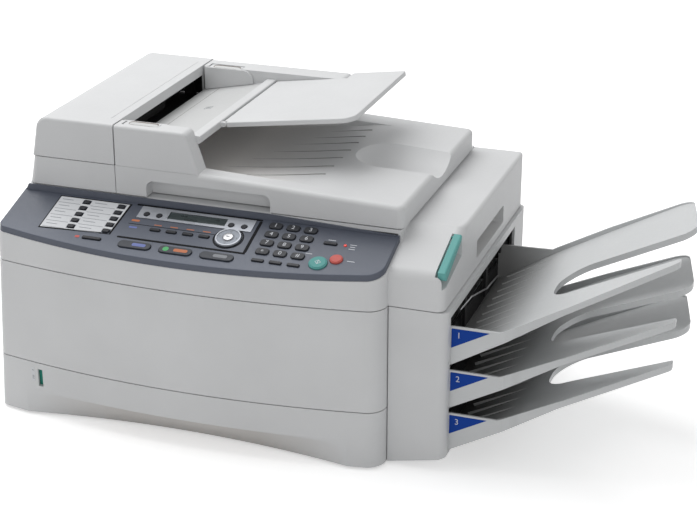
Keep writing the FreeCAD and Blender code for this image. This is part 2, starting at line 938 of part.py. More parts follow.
def toner_cartridge():
    """Drum and toner in one cartridge, with a sloped top on both sides."""
    left = d.toner_left
    right = left + d.toner_width
    top = deck_top + d.toner_height
    bevel = d.toner_bevel
    piece("toner_cartridge", prism("TonerCartridge", "XZ", [
        (left, deck_top), (right, deck_top), (right, top - bevel), (right - bevel, top),
        (left + bevel, top), (left, top - bevel)], d.engine_front, engine_rear))


def fuser_unit():
    """Heated roller housing with the nip slot that the paper passes through."""
    left = d.fuser_left
    right = left + d.fuser_width
    top = deck_top + d.fuser_height
    housing = prism("FuserHousing", "XZ", [
        (left, deck_top), (right, deck_top), (right, top), (left + d.fuser_bevel, top),
        (left, top - d.fuser_bevel)], d.engine_front, engine_rear)
    nip_level = d.path_slot_level + d.path_slot_height / 2
    nip = box("FuserNip", (left - margin, d.path_front, nip_level - d.fuser_nip / 2),
              (right + margin, path_rear, nip_level + d.fuser_nip / 2))
    piece("fuser_unit", cut("FuserUnit", housing, [nip]))


board_height = frame_height - d.board_bottom - d.board_top_gap


def main_board():
    """Control and power board on stand-offs behind the chassis."""
    front = frame_rear + d.board_standoff
    board = box("BoardSheet", (d.board_left, front, d.board_bottom),
                (d.board_left + d.board_width, front + d.board_sheet, d.board_bottom + board_height))
    posts = []
    for name, x in (("Left", d.board_left + d.foot_radius),
                    ("Right", d.board_left + d.board_width - d.foot_radius)):
        for side, z in (("Low", d.board_bottom + d.foot_radius),
                        ("High", d.board_bottom + board_height - d.foot_radius)):
            posts.append(rod(f"BoardPost{name}{side}", "Y", (x, frame_rear, z), d.board_standoff, wall))
    piece("main_board", fuse("MainBoard", [board] + posts))


def rear_sockets():
    """Mains inlet and two telephone jacks that stand on the board and reach through the back."""
    front = frame_rear + d.board_standoff + d.board_sheet
    solids = []
    for name, left, level, width, height in sockets:
        block = box(f"{name}Block", (left, front, level), (left + width, d.body_depth, level + height))
        well = box(f"{name}Well", (left + d.socket_wall, front + d.socket_floor, level + d.socket_wall),
                   (left + width - d.socket_wall, d.body_depth + margin, level + height - d.socket_wall))
        solids.append(cut(f"{name}Socket", block, [well]))
    piece("rear_sockets", group("RearSockets", solids))


# Paper drawer

def drawer_grip():
    """The finger recess under the drawer front: a ruled hollow from a crease down to a bowed-in lip."""
    body = doc.addObject("PartDesign::Body", "GripTool")
    crease = plane_sketch(body, "GripCrease", "XY", d.grip_crease)
    draw_grip_section(crease, bow_radius, bow_radius)
    rise = d.grip_depth - grip_end_y
    lip_radius = (grip_half * grip_half + rise * rise) / (2 * rise)
    lip = plane_sketch(body, "GripLip", "XY", floor_level - seam)
    draw_grip_section(lip, d.grip_depth - lip_radius, lip_radius)
    loft = body.newObject("PartDesign::AdditiveLoft", "GripLoft")
    loft.Profile = crease
    loft.Sections = [lip]
    loft.Ruled = True
    body.Tip = loft
    return body


grip_half = d.body_width / 2 - d.grip_end_inset
grip_end_y = bow_depth(d.grip_end_inset)


def draw_grip_section(sketch, centre_y, radius):
    """One section of the recess: an arc inside the drawer front, closed by straight lines outside it."""
    left = d.grip_end_inset
    right = d.body_width - d.grip_end_inset
    centre_x = d.body_width / 2
    swing = math.asin(grip_half.value / radius.value)
    middle_turn = -math.pi / 2 if centre_y.value > grip_end_y.value else math.pi / 2
    circle = Part.Circle(flat((centre_x, centre_y)), FreeCAD.Vector(0, 0, 1), radius.value)
    arc = Part.ArcOfCircle(circle, middle_turn - swing, middle_turn + swing)
    first, last = (left, right) if middle_turn < 0 else (right, left)
    route = [arc.EndPoint, flat((last, -margin)), flat((first, -margin)), arc.StartPoint]
    sketch.addGeometry(arc)
    for start, end in zip(route, route[1:]):
        sketch.addGeometry(Part.LineSegment(start, end))
    for curve in range(4):
        sketch.addConstraint(Sketcher.Constraint("Coincident", curve, 2, (curve + 1) % 4, 1))
    pin_x(sketch, 0, 3, centre_x)
    pin_y(sketch, 0, 3, centre_y)
    constrain(sketch, Sketcher.Constraint("Radius", 0, radius.value), radius)
    pin_x(sketch, 0, 1, first)
    pin_x(sketch, 0, 2, last)
    pin_x(sketch, 1, 2, last)
    pin_y(sketch, 1, 2, -margin)
    pin_x(sketch, 2, 2, first)
    pin_y(sketch, 2, 2, -margin)


def cassette_front():
    """Bowed drawer front with a finger recess below and a window for the paper level."""
    outer = casing("DrawerOuter", 0, d.drawer_depth, floor_level, drawer_top)
    grip = drawer_grip()
    hollow_shape = casing("DrawerHollow", wall, d.drawer_depth - wall, d.drawer_hollow_floor,
                          drawer_top - wall)
    window_left = d.window_x - d.window_width / 2
    window = box("DrawerWindow", (window_left, -margin, d.window_bottom),
                 (window_left + d.window_width, flag_front, d.window_bottom + d.window_height))
    shaft = box("DrawerFlagShaft", (flag_left - d.slip_gap, flag_front - d.slip_gap,
                                    flag_bottom - d.flag_travel - seam),
                (flag_right + d.slip_gap, d.drawer_depth + margin, flag_top + d.slip_gap))
    rear_access = box("DrawerAccess", (d.bin_left, d.drawer_depth - wall - margin, d.drawer_hollow_floor),
                      (d.body_width - d.bin_right_inset, d.drawer_depth + margin, drawer_top - wall))
    piece("cassette_front", cut("CassetteFront", outer, [grip, hollow_shape, window, shaft, rear_access]))


flag_left = d.window_x - d.window_width
flag_right = d.window_x + d.window_width
flag_front = bow_depth(d.window_x) + d.flag_depth
flag_bottom = d.window_bottom - seam
flag_top = d.window_bottom + d.window_height + seam


def level_flag():
    """Green paper-level flag behind the drawer's window."""
    blade = box("FlagBlade", (flag_left, flag_front, flag_bottom),
                (flag_right, flag_front + d.flag_sheet, flag_top))
    stem = box("FlagStem", (flag_left, flag_front + d.flag_sheet, flag_bottom),
               (flag_right, d.drawer_depth - d.slip_gap, flag_bottom + d.flag_sheet))
    piece("level_flag", fuse("LevelFlag", [blade, stem]))


bin_bottom = floor_level + d.frame_sheet + d.slip_gap
bin_right = d.body_width - d.bin_right_inset
bin_floor = bin_bottom + d.bin_wall


def cassette_bin():
    """Open paper bin behind the drawer front."""
    outer = box("BinOuter", (d.bin_left, d.drawer_depth, bin_bottom),
                (bin_right, bin_rear, bin_bottom + d.bin_height))
    soft = rounded("BinRounded", outer, wall, lambda edge: upright(edge) and near(middle(edge).y, bin_rear))
    inner = box("BinInner", (d.bin_left + d.bin_wall, d.drawer_depth + d.bin_wall, bin_floor),
                (bin_right - d.bin_wall, bin_rear - d.bin_wall, drawer_top + margin))
    piece("cassette_bin", cut("CassetteBin", soft, [inner]))


def lift_plate():
    """Sprung plate that lifts the paper under the pickup roller, with a hinge roll at its right end."""
    front = d.lift_front
    rear = bin_rear - d.bin_wall - d.lift_rear_gap
    right = bin_right - d.bin_wall - d.lift_right_gap
    level = bin_floor + d.slip_gap
    sheet_plate = box("LiftSheet", (d.lift_left, front, level), (right, rear, level + d.lift_sheet))
    roll = rod("LiftRoll", "Y", (right, front, level + d.shaft_radius), rear - front, d.shaft_radius)
    piece("lift_plate", fuse("LiftPlate", [sheet_plate, roll]))


def pickup_roller():
    """Rubber roller on a shaft that turns in the deck's two ears."""
    roll = rod("PickupRoll", "Y", (d.pickup_x, pickup_front + seam, pickup_level), d.pickup_length - seam * 2,
               d.pickup_radius)
    shaft = rod("PickupShaft", "Y", (d.pickup_x, pickup_front - d.bearing_wall - seam, pickup_level),
                d.pickup_length + (d.bearing_wall + seam) * 2, d.shaft_radius)
    piece("pickup_roller", fuse("PickupRoller", [roll, shaft]))


# Right column and trays

tray_root = column_right - d.exit_panel_inset
exit_axis_x = tray_root - d.exit_panel_sheet - d.exit_roller_radius - seam
tray_names = ("bottom", "middle", "top")
tray_slopes = (d.tray_slope_bottom, d.tray_slope_middle, d.tray_slope_top)
tray_tip_slopes = (d.tray_tip_slope_bottom, d.tray_tip_slope_middle, d.tray_tip_slope_top)


def tray_foot(place):
    """Height of a tray's lower root edge, counted from the bottom tray."""
    return d.tray_level + tray_pitch * place


def right_column():
    """Tower that carries the trays: closed in front, behind and above, raised towards its outer foot."""
    low = floor_level
    top = d.lower_height
    outer = prism("ColumnOuter", "XZ", [(column_left, low), (column_right, low + d.column_rise),
                                        (column_right, top), (column_left, top)],
                  d.column_front, d.column_depth)
    next_round(outer, "ColumnCorner", d.column_corner,
               lambda edge: upright(edge) and near(middle(edge).x, column_right))
    inner = prism("ColumnInner", "XZ", [(column_left - margin, low + wall),
                                        (column_right - wall, low + d.column_rise + wall),
                                        (column_right - wall, top - wall),
                                        (column_left - margin, top - wall)], d.column_front + wall,
                  d.column_depth - wall)
    mouth = box("ColumnMouth", (column_right - wall - margin, d.mouth_front, d.mouth_bottom),
                (column_right + margin, d.mouth_rear, mouth_top))
    solids = [cut("ColumnShell", outer, [inner, mouth])]
    for name, start in (("Front", d.front_return + seam), ("Rear", d.mouth_rear - d.column_lug)):
        solids.append(box(f"ColumnLug{name}", (frame_right, start, frame_height - d.column_lug),
                          (column_left + d.column_lug, start + d.column_lug, top)))
    piece("right_column", fuse("RightColumn", solids))


def exit_panel():
    """Black panel behind the trays with three exit slots, roller bearings and the flag's ears."""
    front = d.column_front + wall
    rear = d.mouth_rear + d.bearing_wall * 4
    back = tray_root - d.exit_panel_sheet
    top = d.lower_height - wall
    sheet_panel = box("ExitSheet", (back, front, d.mouth_bottom + seam), (tray_root, rear, top - d.slip_gap))
    solids = [sheet_panel]
    holes = []
    for place, name in enumerate(tray_names):
        level = tray_foot(place) + d.exit_slot_level
        holes.append(box(f"ExitSlot{name}", (back - margin, d.path_front, level),
                         (tray_root + margin, d.path_front + d.path_width - tray_side_height / 2,
                          level + d.exit_slot_height)))
        axis_level = level + d.exit_slot_height / 2 - d.exit_roller_radius
        for side, start in (("Front", exit_front - d.bearing_wall), ("Rear", exit_rear)):
            solids.append(box(f"ExitEar{name}{side}",
                              (exit_axis_x - d.shaft_radius - d.bearing_wall, start,
                               axis_level - d.shaft_radius - d.bearing_wall),
                              (back, start + d.bearing_wall, axis_level + d.shaft_radius + d.bearing_wall)))
            holes.append(rod(f"ExitBore{name}{side}", "Y", (exit_axis_x, start - margin, axis_level),
                             d.bearing_wall + margin * 2, d.shaft_radius + d.bearing_gap))
    for side, start in (("Front", flag_axis_front - d.bearing_wall), ("Rear", flag_axis_rear)):
        solids.append(box(f"ExitFlagEar{side}", (tray_root, start,
                                                 exit_flag_level - d.shaft_radius - d.bearing_wall / 2),
                          (exit_flag_x + d.shaft_radius, start + d.bearing_wall,
                           mouth_top - d.slip_gap)))
        holes.append(rod(f"ExitFlagBore{side}", "Y", (exit_flag_x, start - margin, exit_flag_level),
                         d.bearing_wall + margin * 2, d.shaft_radius / 2 + d.bearing_gap))
    solid = fuse("ExitSolid", solids)
    piece("exit_panel", cut("ExitPanel", solid, holes))


exit_front = d.path_front - d.bearing_wall
exit_rear = d.path_front + d.path_width - tray_side_height / 2 + d.bearing_wall
exit_flag_x = tray_root + d.shaft_radius + seam
exit_flag_level = mouth_top - d.shaft_radius * 2
flag_axis_front = d.path_front + tray_side_height / 2
flag_axis_rear = exit_rear - tray_side_height


def exit_rollers():
    """One driven roller behind each exit slot, with three tyres between gaps of the same length."""
    tyre = (exit_rear - exit_front) / 7
    for place, name in enumerate(tray_names):
        level = tray_foot(place) + d.exit_slot_level + d.exit_slot_height / 2 - d.exit_roller_radius
        shaft = rod(f"ExitShaft{name}", "Y", (exit_axis_x, exit_front - d.bearing_wall - seam, level),
                    exit_rear - exit_front + (d.bearing_wall + seam) * 2, d.shaft_radius)
        solids = [shaft]
        for side, share in (("A", 1), ("B", 3), ("C", 5)):
            solids.append(rod(f"ExitTyre{name}{side}", "Y", (exit_axis_x, exit_front + tyre * share, level),
                              tyre, d.exit_roller_radius))
        piece(f"exit_roller_{name}", fuse(f"ExitRoller{name}", solids))


def exit_flag():
    """Sensor flag that hangs over the top tray and swings out when the tray is full."""
    shaft = rod("ExitFlagShaft", "Y", (exit_flag_x, flag_axis_front - d.bearing_wall - seam, exit_flag_level),
                flag_axis_rear - flag_axis_front + (d.bearing_wall + seam) * 2, d.shaft_radius / 2)
    solids = [shaft]
    for side, share in (("A", 1), ("B", 4)):
        start = flag_axis_front + (flag_axis_rear - flag_axis_front) * share / 6
        solids.append(box(f"ExitFlagArm{side}", (exit_flag_x - d.exit_flag_sheet / 2, start,
                                                 exit_flag_level - d.exit_flag_drop),
                          (exit_flag_x + d.exit_flag_sheet / 2, start + d.exit_flag_width,
                           exit_flag_level)))
    piece("exit_flag", fuse("ExitFlag", solids))


def tray_plan():
    """The trays' plan: a narrow front prong and a broad paddle with a slot between them."""
    prong = tray_tip - d.prong_tip_inset
    slot = column_right + d.tray_slot_run
    straight = column_right + d.tray_straight_run
    body = prism("TrayPlan", "XY", [(tray_root, d.tray_front), (straight, d.tray_front),
                                    (column_right + d.prong_bend_run, d.prong_bend_front),
                                    (prong, d.prong_tip_front), (prong, d.prong_tip_rear),
                                    (slot, d.slot_front), (slot, d.slot_rear),
                                    (tray_tip, d.paddle_tip_front),
                                    (tray_tip, d.paddle_tip_front + d.paddle_tip_flat),
                                    (tray_tip - d.paddle_tip_lean, d.paddle_tip_rear),
                                    (straight, d.tray_rear + d.tray_rear_bulge),
                                    (tray_root, d.tray_rear)], floor_level, deck_height + tray_pitch)
    next_round(body, "TraySlotRound", d.slot_corner,
               lambda edge: upright(edge) and near(middle(edge).x, slot))
    next_round(body, "TrayPaddleRound", d.paddle_corner,
               lambda edge: upright(edge) and near(middle(edge).y, d.paddle_tip_front))
    next_round(body, "TrayPaddleRearRound", d.paddle_rear_corner,
               lambda edge: upright(edge) and near(middle(edge).y, d.paddle_tip_rear))
    return next_round(body, "TrayTipRound", d.tip_corner,
                      lambda edge: upright(edge) and near(middle(edge).x, prong))


def output_trays():
    """Three trays on one plan: a bent sheet with deep side plates at the root and a raised rear rim."""
    plan = tray_plan()
    front_edge = cut("TrayFrontEdge", plan, [shifted("TrayFrontStep", plan, (0, d.tray_side_sheet, 0))])
    rear_edge = cut("TrayRearEdge", plan, [shifted("TrayRearStep", plan, (0, -d.tray_side_sheet, 0))])
    end = tray_tip + margin
    blend = column_right + d.tray_blend_run
    shoulder = column_right + d.tray_side_run
    front = d.tray_front - margin
    rear = d.tray_rear + d.tray_rear_bulge + margin
    for place, name in enumerate(tray_names):
        foot = tray_foot(place)
        rate = tangent(tray_slopes[place])
        back_rise = (tray_root - column_right) * rate
        blend_low = foot + d.tray_blend_run * rate
        end_low = blend_low + (end - blend) * tangent(tray_tip_slopes[place])
        slab = prism(f"TraySlab{name}", "XZ", [(tray_root, foot), (column_right, foot), (blend, blend_low),
                                               (end, end_low), (end, end_low + d.tray_rim),
                                               (blend, blend_low + d.tray_rim),
                                               (tray_root, foot + back_rise + d.tray_rim)], front, rear)
        top = foot + tray_side_height
        front_side = prism(f"TrayFrontSide{name}", "XZ", [
            (tray_root, foot), (column_right, foot), (blend, blend_low), (blend, blend_low + d.tray_rim),
            (shoulder, top), (tray_root, top)], front, d.slot_front - margin)
        rear_rise = d.tray_rim + d.tray_rear_rim
        rear_side = prism(f"TrayRearSide{name}", "XZ",
                          [(tray_root, foot), (column_right, foot), (blend, blend_low), (end, end_low),
                           (end, end_low + d.tray_rim), (blend, blend_low + rear_rise),
                           (shoulder, top), (tray_root, top)], d.slot_rear + margin, rear)
        piece(f"output_tray_{name}", fuse(f"OutputTray{name}", [
            common(f"TraySheet{name}", [plan, slab]),
            common(f"TrayFrontPlate{name}", [front_edge, front_side]),
            common(f"TrayRearPlate{name}", [rear_edge, rear_side])]))


# Upper unit

def slope_tool(name, drop):
    """Everything above the casing slope in front of the document cover."""
    front = -margin
    top = deck_height + margin
    return prism(name, "YZ", [(front, slope_level(front) - drop),
                              (d.panel_rear, slope_level(d.panel_rear) - drop), (d.panel_rear, top),
                              (front, top)], -margin, d.body_width + margin)


block_right = column_left + d.block_width
block_flat_start = d.panel_rear + (block_height - slope_level(d.panel_rear)) / panel_fall


def side_block():
    """The housing over the tray column, sloped in front like the panel."""
    front = d.column_front
    body = prism("SideBlock", "YZ", [(front, upper_bottom), (d.body_depth, upper_bottom),
                                     (d.body_depth, block_height), (block_flat_start, block_height),
                                     (front, slope_level(front))], d.body_width - wall * 2, block_right)
    next_round(body, "SideBlockFrontTop", d.block_front_round,
               lambda edge: along(edge, 0) and near(middle(edge).y, front)
               and middle(edge).z > upper_bottom.value + 1)
    next_round(body, "SideBlockFrontCorner", d.column_corner,
               lambda edge: upright(edge) and near(middle(edge).x, block_right)
               and near(middle(edge).y, front))
    return next_round(body, "SideBlockEdge", d.block_edge_round,
                      lambda edge: near(edge.BoundBox.XMax, block_right)
                      and near(edge.BoundBox.XMin, block_right) and middle(edge).z > bay_floor.value)


lever_left = block_right - d.lever_width - seam / 2
lever_rear = d.lever_front + d.lever_length


def lever_outline(front, rear, rise, front_drop, rear_drop):
    """A wedge under the slope in side view."""
    return [(front, slope_level(front) + rise), (front, slope_level(front) - front_drop),
            (rear, slope_level(rear) - rear_drop), (rear, slope_level(rear) + rise)]


def lever_axle(name, radius):
    """The lever's axle, from inside the lever to a blind hole in the block beside it."""
    start = lever_left - d.lever_gap - d.lever_pin_reach
    y = lever_rear - d.lever_pivot_depth
    return rod(name, "X", (start, y, slope_level(y) - d.lever_pivot_depth), lever_left + wall - start, radius)


def top_shell():
    """Housing of the flatbed: bowed front, panel slope, glass deck and the block over the column."""
    main = cut("ShellMain", casing("ShellPlan", 0, d.body_depth, upper_bottom, deck_height),
               [slope_tool("ShellSlope", 0)])
    block = side_block()
    outer = fuse("ShellOuter", [main, block])
    hollow_plan = casing("ShellHollowPlan", wall, d.body_depth - wall, upper_bottom - margin,
                         deck_height - d.deck_wall)
    hollow = cut("ShellHollow", hollow_plan, [slope_tool("ShellHollowSlope", wall)])
    core = prism("ShellCore", "YZ", [
        (d.column_front + wall * 2, upper_bottom - margin), (d.body_depth - wall, upper_bottom - margin),
        (d.body_depth - wall, block_height - wall), (block_flat_start, block_height - wall),
        (d.column_front + wall * 2 + d.block_front_round, slope_level(d.column_front + wall * 2)),
        (d.column_front + wall * 2, slope_level(d.column_front) - d.block_front_round)],
        d.body_width - wall * 3, column_left + d.block_core)
    tools = [hollow, core]
    lever_room = prism("ShellLeverRoom", "YZ",
                       lever_outline(d.lever_front - d.lever_gap, lever_rear + d.lever_back_gap,
                                     d.lever_height, d.lever_pocket_front, d.lever_pocket_rear),
                       lever_left - d.lever_gap, block_right + margin)
    handle = box("ShellHandle", (block_right - d.handle_depth, d.handle_front, handle_bottom),
                 (block_right + margin, d.handle_front + d.handle_length, handle_bottom + d.handle_height))
    tools += [lever_room, rounded("ShellHandleRound", handle, wall, lambda edge: along(edge, 0))]
    tools.append(lever_axle("ShellLeverBore", d.lever_pin + d.bearing_gap))
    tools += glass_rooms()
    relief = d.side_hinge_relief + margin
    left = left_side(upper_bottom) - margin
    low = upper_bottom - margin
    tools.append(prism("ShellHingeBevel", "XZ", [(left, low), (left + relief + margin, low),
                                                 (left, low + relief + margin)], -margin,
                       d.body_depth + margin))
    shoulder = slope_level(d.panel_rear)
    high = deck_height + margin
    tools.append(prism("ShellDeckBevel", "XZ", [(left_side(shoulder) - margin, shoulder),
                                                (left_side(shoulder), shoulder),
                                                (d.cover_foot_left, deck_height),
                                                (d.cover_foot_left, high),
                                                (left_side(shoulder) - margin, high)], d.panel_rear,
                       d.body_depth + margin))
    for name, start in side_hinges:
        for side, begin in (("Front", start), ("Rear", start + d.outer_knuckle + d.middle_knuckle)):
            tools.append(rod(f"ShellRelief{name}{side}", "Y",
                             (side_hinge_x, begin - d.slip_gap, side_hinge_level),
                             d.outer_knuckle + d.slip_gap * 2, d.side_hinge_radius + d.slip_gap))
    shell = cut("ShellCut", outer, tools)
    floor = box("ShellBayFloor", (wall / 2, d.bay_front, bay_floor),
                (d.body_width - wall / 2, d.body_depth - wall / 2, bay_floor + wall))
    bay_wall = box("ShellBayWall", (wall / 2, d.bay_front, bay_floor),
                   (d.body_width - wall / 2, d.bay_front + wall, deck_height - d.deck_wall / 2))
    rail = box("ShellRail", (wall / 2, d.rail_y, bay_floor),
               (d.body_width - wall / 2, d.rail_y + d.guide_rail_width,
                bay_floor + wall + d.guide_rail_height))
    bay_plan = casing("ShellBayPlan", wall / 2, d.body_depth - wall / 2, bay_floor, deck_height)
    extras = [common("ShellBay", [fuse("ShellBayParts", [floor, bay_wall, rail]), bay_plan])]
    for name, start in side_hinges:
        extras.append(rod(f"ShellKnuckle{name}", "Y",
                          (side_hinge_x, start + d.outer_knuckle + d.slip_gap, side_hinge_level),
                          d.middle_knuckle - d.slip_gap * 2, d.side_hinge_radius))
    bores = [rod(f"ShellKnuckleBore{name}", "Y", (side_hinge_x, start - margin, side_hinge_level),
                 hinge_run + margin * 2, d.side_hinge_pin + d.bearing_gap) for name, start in side_hinges]
    for name, start in cover_hinges:
        for side, begin in (("Left", start), ("Right", start + d.outer_knuckle + d.middle_knuckle)):
            extras.append(box(f"ShellCoverFoot{name}{side}",
                              (begin, cover_hinge_y - d.cover_hinge_radius, deck_height - seam),
                              (begin + d.outer_knuckle, cover_hinge_y + d.cover_hinge_radius,
                               cover_hinge_level)))
            extras.append(rod(f"ShellCoverBarrel{name}{side}", "X", (begin, cover_hinge_y, cover_hinge_level),
                              d.outer_knuckle, d.cover_hinge_radius))
        bores.append(rod(f"ShellCoverBore{name}", "X", (start - margin, cover_hinge_y, cover_hinge_level),
                         hinge_run + margin * 2, d.cover_hinge_pin + d.bearing_gap))
    whole = fuse("ShellWhole", [shell] + extras)
    piece("top_shell", cut("TopShell", whole, bores))


glass_top = deck_height
glass_right = d.body_width - d.glass_right_inset
glass_rear = d.body_depth - d.glass_rear_gap
strip_right = d.strip_left + d.strip_width
panes = (("Bed", d.glass_left, glass_right), ("Strip", d.strip_left, strip_right))


def glass_rooms():
    """Stepped openings in the deck for the two panes."""
    rooms = []
    for name, left, right in panes:
        rooms.append(box(f"GlassSeat{name}", (left, d.glass_front, glass_top - d.glass_thickness),
                         (right, glass_rear, glass_top + margin)))
        rooms.append(box(f"GlassView{name}", (left + d.glass_ledge, d.glass_front + d.glass_ledge,
                                              glass_top - d.deck_wall - margin),
                         (right - d.glass_ledge, glass_rear - d.glass_ledge, glass_top)))
    return rooms


def scanner_glass():
    """The bed's pane and the feeder's narrow strip, flush with the deck."""
    gap = d.slip_gap
    solids = [box(f"Pane{name}", (left + gap, d.glass_front + gap, glass_top - d.glass_thickness),
                  (right - gap, glass_rear - gap, glass_top)) for name, left, right in panes]
    piece("scanner_glass", group("ScannerGlass", solids))


def scan_carriage():
    """Scan head across the bed, straddling its guide rail."""
    rail_top = bay_floor + wall + d.guide_rail_height
    low = rail_top + d.slip_gap
    head = box("CarriageHead", (d.carriage_left, d.bay_front + wall + d.carriage_end_gap, low),
               (d.carriage_left + d.carriage_width, d.body_depth - wall - d.carriage_end_gap * 2,
                low + d.carriage_height))
    cheeks = []
    for side, start in (("Front", d.rail_y - d.slip_gap - wall),
                        ("Rear", d.rail_y + d.guide_rail_width + d.slip_gap)):
        cheeks.append(box(f"CarriageCheek{side}", (d.carriage_left, start, low - d.guide_rail_height / 2),
                          (d.carriage_left + d.carriage_width, start + wall, low + wall)))
    piece("scan_carriage", fuse("ScanCarriage", [head] + cheeks))


def release_lever():
    """Green lever in the block's front edge that frees the upper unit."""
    body = prism("ReleaseLever", "YZ",
                 lever_outline(d.lever_front, lever_rear, seam / 2, d.lever_height, d.lever_heel),
                 lever_left, block_right)
    next_round(body, "ReleaseLeverNose", d.lever_nose,
               lambda edge: along(edge, 0) and near(middle(edge).y, d.lever_front)
               and middle(edge).z < slope_level(d.lever_front).value)
    next_round(body, "ReleaseLeverRound", d.block_edge_round / 2,
               lambda edge: near(edge.BoundBox.XMin, block_right)
               and middle(edge).z > slope_level(middle(edge).y).value)
    piece("release_lever", fuse("LeverOnAxle", [body, lever_axle("LeverAxle", d.lever_pin)]))


# Control panel and keys

def on_panel(feature, x, y):
    """Stand a part that was drawn around the origin on the panel's top face."""
    feature.Placement = FreeCAD.Placement(FreeCAD.Vector(),
                                          FreeCAD.Rotation(FreeCAD.Vector(1, 0, 0), d.panel_angle.value))
    bind(feature, "Placement.Rotation.Angle", d.panel_angle)
    seat(feature, (x, y, panel_level(y)))
    return feature


def round_block(name, width, length, corner, low, high):
    """A block with rounded upright edges, centred over the origin."""
    block = box(name + "Block", (-as_size(width) / 2, -as_size(length) / 2, low),
                (as_size(width) / 2, as_size(length) / 2, high))
    return rounded(name + "Corners", block, corner, upright)


def crowned(name, base):
    """A key whose top edge is bevelled."""
    doc.recompute()
    bevel = d.key_crown.value
    feature = doc.addObject("Part::Chamfer", name)
    feature.Base = base
    edges = enumerate(base.Shape.Edges, start=1)
    feature.Edges = [(place, bevel, bevel) for place, edge in edges if near(edge.BoundBox.ZMin, d.key_rise)]
    return feature


def key_solid(name, key):
    """One key with a crowned top."""
    if key.radius:
        body = rod(name + "Disc", "Z", (0, 0, -d.key_root), d.key_root + d.key_rise, key.radius)
    else:
        body = round_block(name, key.width, key.length, key.corner, -d.key_root, d.key_rise)
    return on_panel(crowned(name, body), key.x, key.y)


def key_room(name, key):
    """The pocket that a key travels in."""
    high = d.key_rise + d.bezel_rise
    if key.radius:
        tool = rod(name + "Room", "Z", (0, 0, -d.key_pocket), d.key_pocket + high, key.radius + d.key_gap)
        tool = group(name + "RoomDisc", [tool])
    else:
        tool = round_block(name + "Room", key.width + d.key_gap * 2, key.length + d.key_gap * 2,
                           key.corner + d.key_gap, -d.key_pocket, high)
    return on_panel(tool, key.x, key.y)


def bar_key(x, y, width, length, corner):
    return types.SimpleNamespace(x=x, y=y, width=width, length=length, corner=corner, radius=None)


def disc_key(x, y, radius):
    return types.SimpleNamespace(x=x, y=y, radius=radius)


def key_plan():
    """Every key by name, with the sub-part that it belongs to."""
    keys = {}
    names = ("one", "two", "three", "four", "five", "six", "seven", "eight", "nine", "star", "zero", "hash")
    for place, name in enumerate(names):
        x = d.dial_left + d.dial_pitch_across * (place % 3)
        y = d.dial_rear - d.dial_pitch_down * (place // 3)
        keys[f"dial_key_{name}"] = [bar_key(x, y, d.dial_width, d.dial_length, d.dial_corner)]
    keys["start_key"] = [disc_key(d.start_x, d.start_y, d.start_radius)]
    keys["stop_key"] = [disc_key(d.stop_x, d.stop_y, d.stop_radius)]
    keys["navigator_key"] = [disc_key(d.navigator_x, d.navigator_y, d.navigator_radius)]
    for place, name in enumerate(("left", "middle", "right")):
        keys[f"mode_key_{name}"] = [bar_key(d.mode_left + d.mode_pitch * place, d.mode_row, d.mode_width,
                                            d.mode_length, d.mode_corner)]
    keys["one_touch_keys"] = [
        bar_key(d.touch_left + d.touch_pitch_across * column, d.touch_rear - d.touch_pitch_down * row,
                d.touch_width, d.touch_length, d.touch_corner) for column in range(2) for row in range(5)]
    functions = [bar_key(d.bar_left + d.bar_pitch * place, d.bar_row, d.bar_width, d.slim_key_length,
                         d.slim_key_corner) for place in range(4)]
    functions += [bar_key(d.dial_left + d.dial_pitch_across * place, d.small_key_row, d.small_key_width,
                          d.slim_key_length, d.slim_key_corner) for place in range(3)]
    functions += [bar_key(d.lone_left_x, d.lone_left_y, d.lone_left_width, d.slim_key_length,
                          d.slim_key_corner), bar_key(d.lone_right_x, d.lone_right_y, d.lone_right_width,
                                                      d.slim_key_length, d.slim_key_corner)]
    functions += [disc_key(start + d.round_key_pitch * place, d.round_key_row, d.round_key_radius)
                  for start in (d.round_key_left, d.round_key_right) for place in range(2)]
    keys["function_keys"] = functions
    return keys


def panel_plate(name, left, right, front, rear, low, high):
    """A plate on the panel given by its plan edges and its depth below and above the top face."""
    across = as_size(right) - left
    down = (as_size(rear) - front) / cosine(d.panel_angle)
    plate = round_block(name, across, down, d.frame_line_width / 4, low, high)
    return on_panel(plate, (as_size(left) + right) / 2, (as_size(front) + rear) / 2)


